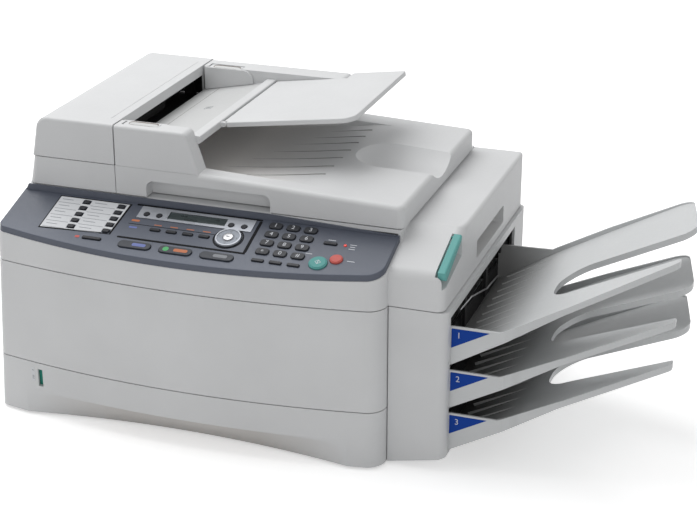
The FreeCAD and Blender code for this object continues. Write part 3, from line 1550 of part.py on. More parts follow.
def control_panel(keys):
    """Dark sloped panel with a pocket for each key, a seat for the display strip and a kerb behind."""
    plan = casing("PanelPlan", d.panel_inset, d.panel_rear, upper_bottom, deck_height)
    front = -margin
    rear = d.panel_rear
    slab = prism("PanelSlab", "YZ", [(front, slope_level(front)), (rear, slope_level(rear)),
                                     (rear, panel_level(rear)), (front, panel_level(front))], -margin,
                 d.body_width + margin)
    sheet_panel = common("PanelSheet", [plan, slab])
    soft = rounded("PanelRound", sheet_panel, d.panel_round, panel_top_edge)
    shoulder = slope_level(rear)
    strip = prism("PanelKerbStrip", "XZ", [
        (left_side(shoulder), shoulder), (d.body_width + margin, shoulder),
        (d.body_width + margin, panel_rear_height), (d.kerb_fade, deck_height),
        (d.cover_foot_left, deck_height)], rear - d.kerb_width, rear)
    raised = fuse("PanelRaised", [soft, common("PanelKerb", [plan, strip])])
    tools = []
    for label, members in keys.items():
        for place, key in enumerate(members):
            tools.append(key_room(f"{label}{place}", key))
    gap = d.slip_gap / 2
    tools.append(panel_plate("BezelSeat", d.bezel_left - gap, d.bezel_right + gap, d.bezel_front - gap,
                             d.bezel_rear + gap, d.bezel_rise - d.bezel_sheet, d.key_rise + margin))
    line = d.frame_line_width
    tools.append(panel_plate("FrameLineFront", d.frame_line_left, d.frame_line_right,
                             d.frame_line_front - line, d.frame_line_front, -d.frame_line_depth, margin))
    tools.append(panel_plate("FrameLineRight", d.frame_line_right - line, d.frame_line_right,
                             d.frame_line_front - line, d.bezel_rear, -d.frame_line_depth, margin))
    piece("control_panel", cut("ControlPanel", raised, tools))


def panel_top_edge(edge):
    """The front and side edges of the panel's top face."""
    place = middle(edge)
    return all(abs(vertex.Z - panel_level(vertex.Y).value) < 0.01 for vertex in edge.Vertexes) and \
        not near(place.y, d.panel_rear) and abs(place.z - panel_level(place.y).value) < 0.05


def display_bezel(keys):
    """Silver strip round the display, with its window and four key holes."""
    strip = panel_plate("BezelStrip", d.bezel_left, d.bezel_right, d.bezel_front, d.bezel_rear,
                        d.bezel_rise - d.bezel_sheet, d.bezel_rise)
    tools = [panel_plate("BezelWindow", d.lcd_left, d.lcd_right, d.lcd_front, d.lcd_rear, -margin, margin)]
    for place, key in enumerate(keys["function_keys"] + keys["navigator_key"]):
        if key.radius:
            tools.append(key_room(f"bezel{place}", key))
    piece("display_bezel", cut("DisplayBezel", strip, tools))


def panel_keys(keys):
    for label, members in keys.items():
        solids = [key_solid(f"{label}Key{place}", key) for place, key in enumerate(members)]
        piece(label, solids[0] if len(solids) == 1 else group(f"{label}Group", solids))


# Document cover and feeder

cover_bottom_level = deck_height + d.cover_gap
cover_right = d.body_width + d.cover_right_overhang
cover_front = d.panel_rear
cover_hinge_y = cover_rear + d.cover_hinge_back
cover_hinge_level = deck_height + d.cover_hinge_rise
cover_hinges = (("One", d.cover_hinge_first), ("Two", d.cover_hinge_second))
tower_inner = cover_front + d.rail_depth
wall_inner = cover_rear - d.rear_wall_depth
feed_slope = d.feed_floor_rise / (d.feed_floor_end - d.feeder_split)
cover_fall = (d.rail_height - d.cover_height) / (cover_right - d.tower_foot_end)


def above_cover(rise):
    """A level counted from the document cover's underside."""
    return cover_bottom_level + rise


def feed_level(x):
    """Top of the feed floor at one station across the machine."""
    return above_cover(d.feed_floor_start) + (x - d.feeder_split) * feed_slope


def cover_level(x):
    """Top of the cover, which falls from the feeder's tower to the right end."""
    return above_cover(d.cover_height) + (cover_right - x) * cover_fall


def cover_slab():
    """The cover's plate with a falling top, rounded corners and a rounded top edge."""
    left = d.feeder_split - margin * 3
    step = d.feeder_split + seam
    low = above_cover(d.cover_height)
    high = above_cover(d.rail_height)
    body = prism("CoverBlock", "XZ", [
        (left, cover_bottom_level), (cover_right, cover_bottom_level), (cover_right, low),
        (d.tower_foot_end, high), (step, high), (step, low), (left, low)], cover_front, cover_rear)
    next_round(body, "CoverCorners", d.cover_corner,
               lambda edge: upright(edge) and near(middle(edge).x, cover_right))
    return next_round(body, "CoverTop", d.cover_round,
                      lambda edge: edge.BoundBox.ZMin > low.value - 0.01
                      and middle(edge).x > step.value + 1
                      and (not along(edge, 1) or near(middle(edge).x, cover_right)))


def front_tower():
    """The feeder's front cheek with a leaning right end."""
    body = prism("CoverTower", "XZ", [
        (d.feeder_split + seam, above_cover(d.cover_corner)), (d.tower_foot_end, above_cover(d.cover_corner)),
        (d.tower_foot_end, above_cover(d.rail_height)), (d.tower_top_end, above_cover(d.tower_height)),
        (d.feeder_split + seam, above_cover(d.tower_height))], cover_front, tower_inner)
    next_round(body, "CoverTowerEnd", d.tower_round,
               lambda edge: along(edge, 1) and near(middle(edge).x, d.tower_top_end))
    return next_round(body, "CoverTowerEdge", d.tower_round / 2,
                      lambda edge: near(edge.BoundBox.YMin, cover_front)
                      and near(edge.BoundBox.YMax, cover_front)
                      and middle(edge).z > above_cover(d.rail_height).value + 1
                      and middle(edge).x > d.feeder_split.value + 2)


def rear_wall():
    """The feeder's back cheek behind the feed floor, with a leaning right end."""
    low = above_cover(d.cover_corner)
    high = above_cover(d.tower_height)
    body = prism("CoverRearWall", "XZ", [
        (d.feeder_split + seam, low), (d.rear_wall_foot_end, low),
        (d.rear_wall_foot_end, above_cover(d.cover_height)), (d.rear_wall_top_end, high),
        (d.feeder_split + seam, high)], wall_inner, cover_rear)
    next_round(body, "CoverRearEnd", d.tower_round,
               lambda edge: along(edge, 1) and near(middle(edge).x, d.rear_wall_top_end))
    return next_round(body, "CoverRearEdge", d.tower_round,
                      lambda edge: near(edge.BoundBox.YMin, cover_rear)
                      and near(edge.BoundBox.YMax, cover_rear)
                      and middle(edge).z > above_cover(d.cover_height).value
                      and middle(edge).x > d.feeder_split.value + 2)


def basin_tool():
    """The hollow under the feed floor where scanned sheets land: bent up, then over to the flat end."""
    left = d.feeder_split + wall
    low = above_cover(d.basin_floor)
    top = above_cover(d.tower_height)
    across = sine(d.basin_angle)
    up = 1 - cosine(d.basin_angle)
    both = (cover_level(left) - low) / (up + cover_fall * across)
    bend = both - d.basin_blend
    turn = left + bend * across
    right = left + both * across
    width = wall_inner - tower_inner
    hollow = common("BasinHollow", [
        box("BasinLeft", (left, tower_inner, low), (turn, wall_inner, top)),
        rod("BasinBend", "Y", (left, tower_inner, low + bend), width, bend)])
    slope = cut("BasinSlope", box("BasinRight", (turn, tower_inner, low), (right, wall_inner, top)), [
        rod("BasinBlend", "Y", (right, tower_inner, cover_level(right) - d.basin_blend), width,
            d.basin_blend)])
    return fuse("CoverBasin", [hollow, slope])


def scoop_tool():
    """A round-bottomed hollow that ends in a ball at the left and opens through the right end."""
    half = (d.scoop_rear - d.scoop_front) / 2
    radius = (half * half + d.scoop_depth * d.scoop_depth) / (2 * d.scoop_depth)
    start = (d.scoop_centre, (d.scoop_front + d.scoop_rear) / 2,
             above_cover(d.cover_height) + radius - d.scoop_depth)
    ball = doc.addObject("Part::Sphere", "CoverScoopBall")
    bind(ball, "Radius", radius)
    seat(ball, start)
    trough = rod("CoverScoopTrough", "X", start, cover_right - d.scoop_centre + margin, radius)
    return fuse("CoverScoop", [ball, trough])


def notch_tool():
    """The finger notch in the cover's front edge."""
    block = box("CoverNotch", (d.notch_left, cover_front - margin, cover_bottom_level - margin),
                (d.notch_right, cover_front + d.notch_depth, above_cover(d.notch_height)))
    top = above_cover(d.notch_height)
    return rounded("CoverNotchRound", block, d.notch_corner,
                   lambda edge: along(edge, 1) and near(middle(edge).z, top))


def document_cover():
    """Flatbed cover in one moulding with the feeder's base, cheeks, feed floor and landing basin."""
    base_top = above_cover(d.feeder_base_height)
    feeder_base = prism("CoverFeederBase", "XZ", [
        (d.cover_foot_left, cover_bottom_level), (d.feeder_split + wall, cover_bottom_level),
        (d.feeder_split + wall, base_top), (d.cover_shoulder_left, base_top)], cover_front, cover_rear)
    next_round(feeder_base, "CoverFeederCorner", d.cover_corner,
               lambda edge: rising(edge) and middle(edge).x < d.cover_left.value + d.cover_corner.value)
    split = box("CoverSplit", (d.feeder_split - seam / 2, cover_front - margin, cover_bottom_level - margin),
                (d.feeder_split + seam / 2, cover_front + wall / 2, above_cover(d.tower_height) + margin))
    groove = box("CoverTowerGroove", (d.feeder_split, cover_front - margin, base_top),
                 (d.tower_foot_end, cover_front + seam / 2, base_top + d.adf_gap))
    opened = cut("CoverOpened", fuse("CoverMass", [cover_slab(), rear_wall()]),
                 [basin_tool(), scoop_tool()])
    floor = prism("CoverFeedFloor", "XZ", [(d.feeder_split + seam,
                                            feed_level(d.feeder_split + seam) - d.feed_floor_sheet),
                                           (d.feed_floor_end,
                                            feed_level(d.feed_floor_end) - d.feed_floor_sheet),
                                           (d.feed_floor_end, feed_level(d.feed_floor_end)),
                                           (d.feeder_split + seam, feed_level(d.feeder_split + seam))],
                  tower_inner - seam, wall_inner + seam)
    lip = box("CoverFeedLip", (d.feed_floor_end - seam, tower_inner - seam,
                               feed_level(d.feed_floor_end) - d.feed_floor_sheet),
              (d.feed_floor_end + d.feed_lip_width, wall_inner + seam,
               feed_level(d.feed_floor_end) + d.feed_lip_height))
    soft_lip = rounded("CoverFeedLipRound", lip, d.feed_lip_width / 8, lambda edge: along(edge, 1))
    cheeks = []
    for side, start in (("Front", cheek_front), ("Rear", cheek_rear)):
        cheeks.append(box(f"CoverCheek{side}", (d.feed_roller_x - d.bearing_wall * 2, start,
                                                above_cover(d.feeder_base_height - wall)),
                          (d.feed_roller_x + d.bearing_wall * 2, start + d.cheek_sheet,
                           above_cover(d.feed_roller_level) + d.shaft_radius + d.bearing_wall)))
    extras = [feeder_base, front_tower(), floor, soft_lip] + leaf_ear() + cheeks
    tools = [split, groove, notch_tool(), pad_room()] + tab_rooms()
    tools.append(rod("CoverLeafBore", "Y", (leaf_pivot_x, d.leaf_front - margin, leaf_pivot_level),
                     wall_inner - d.leaf_front + margin * 2, d.leaf_pin + d.bearing_gap))
    tools.append(rod("CoverRollerBore", "Y", (d.feed_roller_x, cheek_front - margin,
                                              above_cover(d.feed_roller_level)),
                     cheek_rear - cheek_front + margin * 2 + d.cheek_sheet,
                     d.shaft_radius + d.bearing_gap))
    shaped = cut("CoverShaped", fuse("CoverJoined", [opened] + extras), tools)
    tongues = []
    bores = []
    for name, start in cover_hinges:
        begin = start + d.outer_knuckle + d.slip_gap
        length = d.middle_knuckle - d.slip_gap * 2
        tongues.append(rod(f"CoverKnuckle{name}", "X", (begin, cover_hinge_y, cover_hinge_level), length,
                           d.cover_hinge_radius - seam / 2))
        tongues.append(box(f"CoverTongue{name}",
                           (begin, cover_rear - d.cover_corner, cover_bottom_level + d.slip_gap),
                           (begin + length, cover_hinge_y,
                            cover_hinge_level + d.cover_hinge_radius - seam)))
        bores.append(rod(f"CoverKnuckleBore{name}", "X", (start - margin, cover_hinge_y, cover_hinge_level),
                         hinge_run + margin * 2, d.cover_hinge_pin + d.bearing_gap))
    for name, start in adf_hinges:
        for side, begin in (("Front", start), ("Rear", start + d.outer_knuckle + d.middle_knuckle)):
            tongues.append(rod(f"CoverAdfBarrel{name}{side}", "Y", (adf_hinge_x, begin, adf_hinge_level),
                               d.outer_knuckle, d.adf_hinge_radius))
        bores.append(rod(f"CoverAdfRelief{name}", "Y",
                         (adf_hinge_x, start + d.outer_knuckle, adf_hinge_level), d.middle_knuckle,
                         d.adf_hinge_radius + d.slip_gap))
        bores.append(rod(f"CoverAdfBore{name}", "Y", (adf_hinge_x, start, adf_hinge_level), hinge_run,
                         d.adf_hinge_pin + d.bearing_gap))
    piece("document_cover", cut("DocumentCover", fuse("CoverHinged", [shaped] + tongues), bores))


cheek_front = cover_front + wall * 2
cheek_rear = cover_rear - wall * 2 - d.cheek_sheet


def pad_room():
    """Recess in the cover's underside for the backing pad."""
    return box("CoverPadRoom", (d.cover_left + d.pad_margin, cover_front + d.pad_margin + d.notch_depth,
                                cover_bottom_level - margin),
               (cover_right - d.pad_margin, cover_rear - d.pad_margin,
                cover_bottom_level + d.pad_thickness))


def backing_pad():
    """White sheet and sponge that press the original on the glass."""
    gap = d.slip_gap
    block = box("PadBlock", (d.cover_left + d.pad_margin + gap,
                             cover_front + d.pad_margin + d.notch_depth + gap, deck_height + gap),
                (cover_right - d.pad_margin - gap, cover_rear - d.pad_margin - gap,
                 cover_bottom_level + d.pad_thickness))
    piece("backing_pad", rounded("BackingPad", block, wall, upright))


def lid_hinges():
    pins = [rod(f"CoverPin{name}", "X", (start, cover_hinge_y, cover_hinge_level), hinge_run,
                d.cover_hinge_pin) for name, start in cover_hinges]
    piece("lid_hinge_pins", group("LidHingePins", pins))


adf_bottom = above_cover(d.feeder_base_height) + d.adf_gap
adf_top = above_cover(d.adf_height)
adf_hinge_x = d.cover_shoulder_left
adf_hinge_level = adf_bottom - d.adf_gap / 2
adf_hinges = (("One", d.adf_hinge_first), ("Two", d.adf_hinge_second))


def adf_cover():
    """Feeder lid: a drafted shell, open below and to the right, with a raised lip over the mouth."""
    right = d.feeder_split - seam / 2
    left = d.cover_left
    outline = [(left + d.adf_hinge_bevel, adf_bottom), (right, adf_bottom), (right, adf_top),
               (left + d.adf_shoulder, adf_top), (left + d.adf_shoulder / 5, adf_bottom + d.adf_shoulder),
               (left, adf_bottom + d.adf_hinge_bevel)]
    body = prism("AdfOuter", "XZ", outline, cover_front, cover_rear)
    next_round(body, "AdfShoulder", d.adf_round,
               lambda edge: along(edge, 1) and near(middle(edge).x, left + d.adf_shoulder))
    next_round(body, "AdfEdge", d.tower_round / 2,
               lambda edge: middle(edge).z > adf_bottom.value + 1
               and (on_side(edge, cover_front) or on_side(edge, cover_rear))
               and middle(edge).x < right.value - 0.1)
    inner = prism("AdfInner", "XZ", [(left + wall + d.adf_hinge_bevel, adf_bottom - margin),
                                     (right - wall, adf_bottom - margin), (right - wall, adf_top - wall),
                                     (left + d.adf_shoulder + wall * 4, adf_top - wall),
                                     (left + wall * 2, adf_bottom + d.adf_shoulder)], cover_front + wall,
                  cover_rear - wall)
    mouth = box("AdfMouth", (right - wall - margin, d.adf_mouth_front, adf_bottom - margin),
                (right + margin, wall_inner, adf_top - d.adf_lip))
    crease = box("AdfCrease", (right - d.adf_lip, tower_inner, adf_top - seam / 4),
                 (right - d.adf_lip + seam, wall_inner + d.tab_width, adf_top + margin))
    hinge_rooms = []
    knuckles = []
    for name, start in adf_hinges:
        for side, begin in (("Front", start), ("Rear", start + d.outer_knuckle + d.middle_knuckle)):
            hinge_rooms.append(rod(f"AdfRelief{name}{side}", "Y",
                                   (adf_hinge_x, begin - d.slip_gap, adf_hinge_level),
                                   d.outer_knuckle + d.slip_gap * 2, d.adf_hinge_radius + d.slip_gap))
        knuckles.append(rod(f"AdfKnuckle{name}", "Y",
                            (adf_hinge_x, start + d.outer_knuckle + d.slip_gap, adf_hinge_level),
                            d.middle_knuckle - d.slip_gap * 2, d.adf_hinge_radius))
        knuckles.append(rod(f"AdfPin{name}", "Y", (adf_hinge_x, start, adf_hinge_level), hinge_run,
                            d.adf_hinge_pin))
    shell = cut("AdfShell", body, [inner, mouth, crease] + hinge_rooms)
    piece("adf_cover", fuse("AdfCover", [shell] + knuckles))


def on_side(edge, y):
    return near(edge.BoundBox.YMin, y) and near(edge.BoundBox.YMax, y)


def feed_roller():
    """Feed roller that pulls originals in, on a shaft between the cheeks."""
    level = above_cover(d.feed_roller_level)
    centre_y = (cheek_front + cheek_rear + d.cheek_sheet) / 2
    roll = rod("FeedRoll", "Y", (d.feed_roller_x, centre_y - d.feed_roller_length / 2, level),
               d.feed_roller_length, d.feed_roller_radius)
    shaft = rod("FeedShaft", "Y", (d.feed_roller_x, cheek_front - seam, level),
                cheek_rear - cheek_front + d.cheek_sheet + seam * 2, d.shaft_radius)
    piece("feed_roller", fuse("FeedRoller", [roll, shaft]))


guide_right = d.guide_left + d.guide_length
tower_top = above_cover(d.tower_height)


def tab_rooms():
    """Finger recesses in the tops of the cheeks for the guides' tabs."""
    rooms = []
    for side, start, end in (("Front", tower_inner - d.tab_width - seam, tower_inner + margin),
                             ("Rear", wall_inner - margin, wall_inner + d.tab_width + seam)):
        rooms.append(box(f"TabRoom{side}", (d.tab_left - seam, start, tower_top - d.tab_depth - d.slip_gap),
                         (d.tab_left + d.tab_length + seam, end, tower_top + margin)))
    return rooms


def paper_guides():
    """Two upright guides that slide to the width of the original."""
    low = d.slip_gap * 1.5
    top = tower_top - d.slip_gap
    outline = [(d.guide_left, feed_level(d.guide_left) + low), (guide_right, feed_level(guide_right) + low),
               (guide_right, top), (d.guide_left, top)]
    for side, start, tab_start in (("front", tower_inner + d.slip_gap, tower_inner - d.tab_width),
                                   ("rear", wall_inner - d.slip_gap - d.guide_sheet,
                                    wall_inner - d.slip_gap - d.guide_sheet)):
        blade = prism(f"GuideBlade{side}", "XZ", outline, start, start + d.guide_sheet)
        next_round(blade, f"GuideCorner{side}", d.guide_corner,
                   lambda edge: along(edge, 1) and near(middle(edge).x, guide_right)
                   and near(middle(edge).z, top))
        tab = box(f"GuideTab{side}", (d.tab_left, tab_start, tower_top - d.tab_depth - d.slip_gap / 4),
                  (d.tab_left + d.tab_length, tab_start + d.tab_width + d.slip_gap + d.guide_sheet, top))
        soft_tab = rounded(f"GuideTabRound{side}", tab, seam, lambda edge: near(edge.BoundBox.ZMin, top))
        piece(f"paper_guide_{side}", fuse(f"PaperGuide{side}", [blade, soft_tab]))


leaf_pivot_x = d.feed_floor_end + d.feed_lip_width + d.leaf_pivot_gap
leaf_pivot_level = feed_level(d.feed_floor_end) + d.feed_lip_height - d.leaf_sheet / 2 - seam
leaf_ear_reach = d.leaf_pin + d.bearing_gap + d.leaf_ear_wall


def leaf_ear():
    """Ear on the feed lip that carries the front pin of the folding tray."""
    knuckle = rod("CoverLeafKnuckle", "Y", (leaf_pivot_x, d.leaf_front, leaf_pivot_level), d.leaf_ear,
                  leaf_ear_reach)
    web = box("CoverLeafEar", (leaf_pivot_x - d.leaf_pivot_gap - seam, d.leaf_front,
                               leaf_pivot_level - leaf_ear_reach),
              (leaf_pivot_x, d.leaf_front + d.leaf_ear, leaf_pivot_level + leaf_ear_reach))
    return [knuckle, web]


def document_tray():
    """Folding leaf that carries the originals, rolled round its hinge at the left."""
    half = d.leaf_sheet / 2
    length = (d.leaf_right - leaf_pivot_x) / cosine(d.leaf_angle)
    rear = wall_inner - seam
    shoulder = (d.leaf_shoulder - leaf_pivot_x) / cosine(d.leaf_angle)
    wide_rear = cover_rear - d.leaf_rear_inset
    hinge_front = d.leaf_front + d.leaf_ear + seam / 2
    notch = leaf_ear_reach + seam
    sheet_leaf = prism("LeafSheet", "XY", [
        (0, hinge_front), (notch, hinge_front), (notch, d.leaf_front), (length, d.leaf_front),
        (length, wide_rear), (shoulder, wide_rear), (shoulder, rear), (0, rear)], -half, half)
    next_round(sheet_leaf, "LeafFrontCorner", d.leaf_corner,
               lambda edge: upright(edge) and near(middle(edge).x, length)
               and near(middle(edge).y, d.leaf_front))
    next_round(sheet_leaf, "LeafRearCorner", wall,
               lambda edge: upright(edge) and middle(edge).y > rear.value + 1)
    soft = next_round(sheet_leaf, "LeafEdges", seam,
                      lambda edge: near(edge.BoundBox.ZMin, half) and middle(edge).x > notch.value + 1)
    roll = rod("LeafRoll", "Y", (0, hinge_front, 0), rear - hinge_front, half)
    pin = rod("LeafPin", "Y", (0, d.leaf_front, 0), rear + seam + wall - d.leaf_front, d.leaf_pin)
    leaf = fuse("DocumentTray", [soft, roll, pin])
    turn = FreeCAD.Rotation(FreeCAD.Vector(0, -1, 0), d.leaf_angle.value)
    leaf.Placement = FreeCAD.Placement(FreeCAD.Vector(), turn)
    bind(leaf, "Placement.Rotation.Angle", d.leaf_angle)
    seat(leaf, (leaf_pivot_x, 0, leaf_pivot_level))
    piece("document_tray", leaf)


def build():
    """Model every sub-part."""
    base_frame()
    left_cover()
    top_hinge_pins()
    front_cover()
    rear_cover()
    case_screws()
    rubber_feet()
    laser_unit()
    toner_cartridge()
    fuser_unit()
    main_board()
    rear_sockets()
    cassette_front()
    level_flag()
    cassette_bin()
    lift_plate()
    pickup_roller()
    right_column()
    exit_panel()
    exit_rollers()
    exit_flag()
    output_trays()
    top_shell()
    scanner_glass()
    scan_carriage()
    release_lever()
    keys = key_plan()
    control_panel(keys)
    display_bezel(keys)
    panel_keys(keys)
    document_cover()
    backing_pad()
    lid_hinges()
    adf_cover()
    feed_roller()
    paper_guides()
    document_tray()
    doc.recompute()


def check():
    """Stop before anything is written if a feature failed or a sub-part is not a sound solid."""
    failed = [feature.Name for feature in doc.Objects if {"Invalid", "Error"} & set(feature.State)]
    if failed:
        raise RuntimeError("failed features: " + ", ".join(failed))
    for feature in pieces:
        if feature.Shape.isNull() or not feature.Shape.isValid() or not feature.Shape.Solids:
            raise RuntimeError("bad shape: " + feature.Label)


def write():
    os.makedirs("parts", exist_ok=True)
    for feature in pieces:
        feature.Shape.exportStep(f"parts/{feature.Label}.step")


build()
check()
write()
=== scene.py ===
import json
import math

import bmesh
import bpy
from mathutils import Matrix, Vector


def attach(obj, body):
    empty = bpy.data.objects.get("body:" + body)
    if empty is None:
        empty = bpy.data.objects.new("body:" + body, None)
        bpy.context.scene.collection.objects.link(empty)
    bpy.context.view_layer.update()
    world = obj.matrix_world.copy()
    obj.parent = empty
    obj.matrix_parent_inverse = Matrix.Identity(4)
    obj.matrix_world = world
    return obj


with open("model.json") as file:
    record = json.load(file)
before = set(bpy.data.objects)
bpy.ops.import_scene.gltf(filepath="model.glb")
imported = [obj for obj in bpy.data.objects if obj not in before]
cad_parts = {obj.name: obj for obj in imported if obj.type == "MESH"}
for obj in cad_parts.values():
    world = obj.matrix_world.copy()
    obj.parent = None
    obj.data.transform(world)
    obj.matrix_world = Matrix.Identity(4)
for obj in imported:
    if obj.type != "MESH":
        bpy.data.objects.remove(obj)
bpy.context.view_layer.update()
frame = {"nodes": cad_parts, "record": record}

# Shapes are drawn in millimetres from the left front of the casing, then moved to the frame.
MM = 0.001
MIDDLE_X = 353.597
MIDDLE_Y = 179.0
TO_FRAME = Matrix.Scale(MM, 4) @ Matrix.Translation((-MIDDLE_X, -MIDDLE_Y, 0))

# Bowed front of the casing, on the plan
BOW_MIDDLE = 216.0
BOW_RADIUS = 1100.8

# Sloping control panel
PANEL_TILT = math.radians(18.5)
PANEL_REAR = 80.0
PANEL_REAR_HEIGHT = 235.2
PANEL = (Matrix.Translation((0, PANEL_REAR, PANEL_REAR_HEIGHT))
         @ Matrix.Rotation(PANEL_TILT, 4, "X"))
PANEL_OUT = Vector((0, -math.sin(PANEL_TILT), math.cos(PANEL_TILT)))
KEY_RISE = 1.6

# Basin floor of the document cover: a wide hollow bend, then a round one that levels out
BASIN_LEFT = 123.0
BASIN_LOW = 250.6
BASIN_BEND = 1253.3
BASIN_TURN = 319.06
BASIN_RIGHT = 350.35
BASIN_HIGH = 268.49
BASIN_BLEND = 200.0

# Output trays at the right of the column: name, foot, slope in degrees, height of the fins
COLUMN_RIGHT = 493.0
TRAY_FRONT = 53.0
TRAY_RIM = 7.0
TRAYS = (("bottom", 19.5, 28.8, 3.2), ("middle", 67.5, 28.4, 3.2), ("top", 115.5, 30.6, 1.6))


# Places

def at(*place):
    return Matrix.Translation(place)


def turned(degrees, axis):
    return Matrix.Rotation(math.radians(degrees), 4, axis)


def slope(y):
    """Distance along the panel from its rear edge, for a distance on the plan."""
    return (y - PANEL_REAR) / math.cos(PANEL_TILT)


def on_panel(x, y, lift=0.0):
    return PANEL @ at(x, slope(y), lift)


def facing(place, normal):
    """A place on an upright face, with its own z outward and its own y upward."""
    out = Vector(normal).normalized()
    across = Vector((0, 0, 1)).cross(out).normalized()
    return at(*place) @ Matrix((across, out.cross(across), out)).transposed().to_4x4()


# Nodes of the finishes

NOISE_LOW, NOISE_HIGH = 0.3, 0.7


def shader_of(name):
    material = bpy.data.materials.new(name)
    material.use_nodes = True
    return material, material.node_tree, material.node_tree.nodes["Principled BSDF"]


def object_place(tree):
    return tree.nodes.new("ShaderNodeTexCoord").outputs["Object"]


def object_axes(tree):
    parts = tree.nodes.new("ShaderNodeSeparateXYZ")
    tree.links.new(object_place(tree), parts.inputs["Vector"])
    return parts.outputs


def ramp(tree, value, start, end, low=0.0, high=1.0):
    """From low to high, as a value goes from start to end."""
    made = tree.nodes.new("ShaderNodeMapRange")
    made.inputs["From Min"].default_value = start
    made.inputs["From Max"].default_value = end
    made.inputs["To Min"].default_value = low
    made.inputs["To Max"].default_value = high
    tree.links.new(value, made.inputs["Value"])
    return made.outputs["Result"]


def joined(tree, operation, first, second):
    made = tree.nodes.new("ShaderNodeMath")
    made.operation = operation
    tree.links.new(first, made.inputs[0])
    tree.links.new(second, made.inputs[1])
    return made.outputs["Value"]


def mixed(tree, factor, first, second):
    """Two colours by a factor, each a plain colour or the output of a node."""
    made = tree.nodes.new("ShaderNodeMix")
    made.data_type = "RGBA"
    tree.links.new(factor, made.inputs["Factor"])
    for side, colour in (("A", first), ("B", second)):
        if isinstance(colour, bpy.types.NodeSocket):
            tree.links.new(colour, made.inputs[side])
        else:
            made.inputs[side].default_value = (*colour, 1)
    return made.outputs["Result"]


def noise(tree, scale, detail=2.0, stretch=None):
    """Noise over the object's own place."""
    place = object_place(tree)
    if stretch:
        turn = tree.nodes.new("ShaderNodeMapping")
        turn.inputs["Scale"].default_value = stretch
        tree.links.new(place, turn.inputs["Vector"])
        place = turn.outputs["Vector"]
    made = tree.nodes.new("ShaderNodeTexNoise")
    made.inputs["Scale"].default_value = scale
    made.inputs["Detail"].default_value = detail
    tree.links.new(place, made.inputs["Vector"])
    return made.outputs["Fac"]


def spread(tree, factor, low, high):
    """The middle of a noise, stretched from low to high."""
    return ramp(tree, factor, NOISE_LOW, NOISE_HIGH, low, high)


def sink(tree, shader, height, strength, depth):
    bump = tree.nodes.new("ShaderNodeBump")
    bump.inputs["Strength"].default_value = strength
    bump.inputs["Distance"].default_value = depth
    tree.links.new(height, bump.inputs["Height"])
    tree.links.new(bump.outputs["Normal"], shader.inputs["Normal"])


def linear(red, green, blue):
    """A shade named by its screen values, as light."""
    return tuple((v / 255 / 12.92) if v < 10.3 else ((v / 255 + 0.055) / 1.055) ** 2.4
                 for v in (red, green, blue))


def within(tree, limits, inside=None):
    """How far inside a box a point lies, from 0 at each outer limit to 1 at each inner one."""
    axes = object_axes(tree)
    for axis, outer, inner in limits:
        shift = {"X": MIDDLE_X, "Y": MIDDLE_Y, "Z": 0.0}[axis]
        edge = ramp(tree, axes[axis], (outer - shift) * MM, (inner - shift) * MM)
        inside = edge if inside is None else joined(tree, "MULTIPLY", inside, edge)
    return inside


def behind_bow(tree, near, far):
    """From 0 to 1 between two depths behind the casing's bowed front."""
    flat = tree.nodes.new("ShaderNodeVectorMath")
    flat.operation = "MULTIPLY"
    flat.inputs[1].default_value = (1, 1, 0)
    tree.links.new(object_place(tree), flat.inputs[0])
    reach = tree.nodes.new("ShaderNodeVectorMath")
    reach.operation = "DISTANCE"
    reach.inputs[1].default_value = ((BOW_MIDDLE - MIDDLE_X) * MM, (BOW_RADIUS - MIDDLE_Y) * MM, 0)
    tree.links.new(flat.outputs["Vector"], reach.inputs[0])
    return ramp(tree, reach.outputs["Value"], (BOW_RADIUS - near) * MM, (BOW_RADIUS - far) * MM)


def tinted(material, factor, shade):
    """Another shade where the factor is 1."""
    tree = material.node_tree
    tone = tree.nodes["Principled BSDF"].inputs["Base Color"]
    tree.links.new(mixed(tree, factor, tone.links[0].from_socket, linear(*shade)), tone)


# Finishes

CLOUD_SCALE = 11.0
SHEEN_SCALE = 260.0
SHEEN_SPREAD = 0.05
GRAIN_HEIGHT = 0.0002
INK_SCALE = 900.0
BRUSHED_SPREAD = 0.06
BRUSHED_HEIGHT = 0.0001
PANEL_SKIN = 0.0004


def moulded(name, shade, roughness, mottle=0.03, grain=1500.0, grain_depth=0.12, gloss=0.4):
    """Moulded plastic: a faint cloud in its colour and a fine spark-eroded grain."""
    material, tree, shader = shader_of(name)
    colour = linear(*shade)
    cloud = spread(tree, noise(tree, CLOUD_SCALE, 3.0), 0.0, 1.0)
    tone = mixed(tree, cloud, [c * (1 - mottle) for c in colour],
                 [c * (1 + mottle) for c in colour])
    tree.links.new(tone, shader.inputs["Base Color"])
    rough = spread(tree, noise(tree, SHEEN_SCALE), roughness - SHEEN_SPREAD,
                   roughness + SHEEN_SPREAD)
    tree.links.new(rough, shader.inputs["Roughness"])
    shader.inputs["Specular IOR Level"].default_value = gloss
    sink(tree, shader, noise(tree, grain, 1.0), grain_depth, GRAIN_HEIGHT)
    return material


def printed(name, shade, roughness=0.5, gloss=0.3):
    """Ink on plastic, a little uneven."""
    material, tree, shader = shader_of(name)
    colour = linear(*shade)
    tone = mixed(tree, noise(tree, INK_SCALE), [c * 0.94 for c in colour],
                 [min(1, c * 1.06) for c in colour])
    tree.links.new(tone, shader.inputs["Base Color"])
    shader.inputs["Roughness"].default_value = roughness
    shader.inputs["Specular IOR Level"].default_value = gloss
    return material


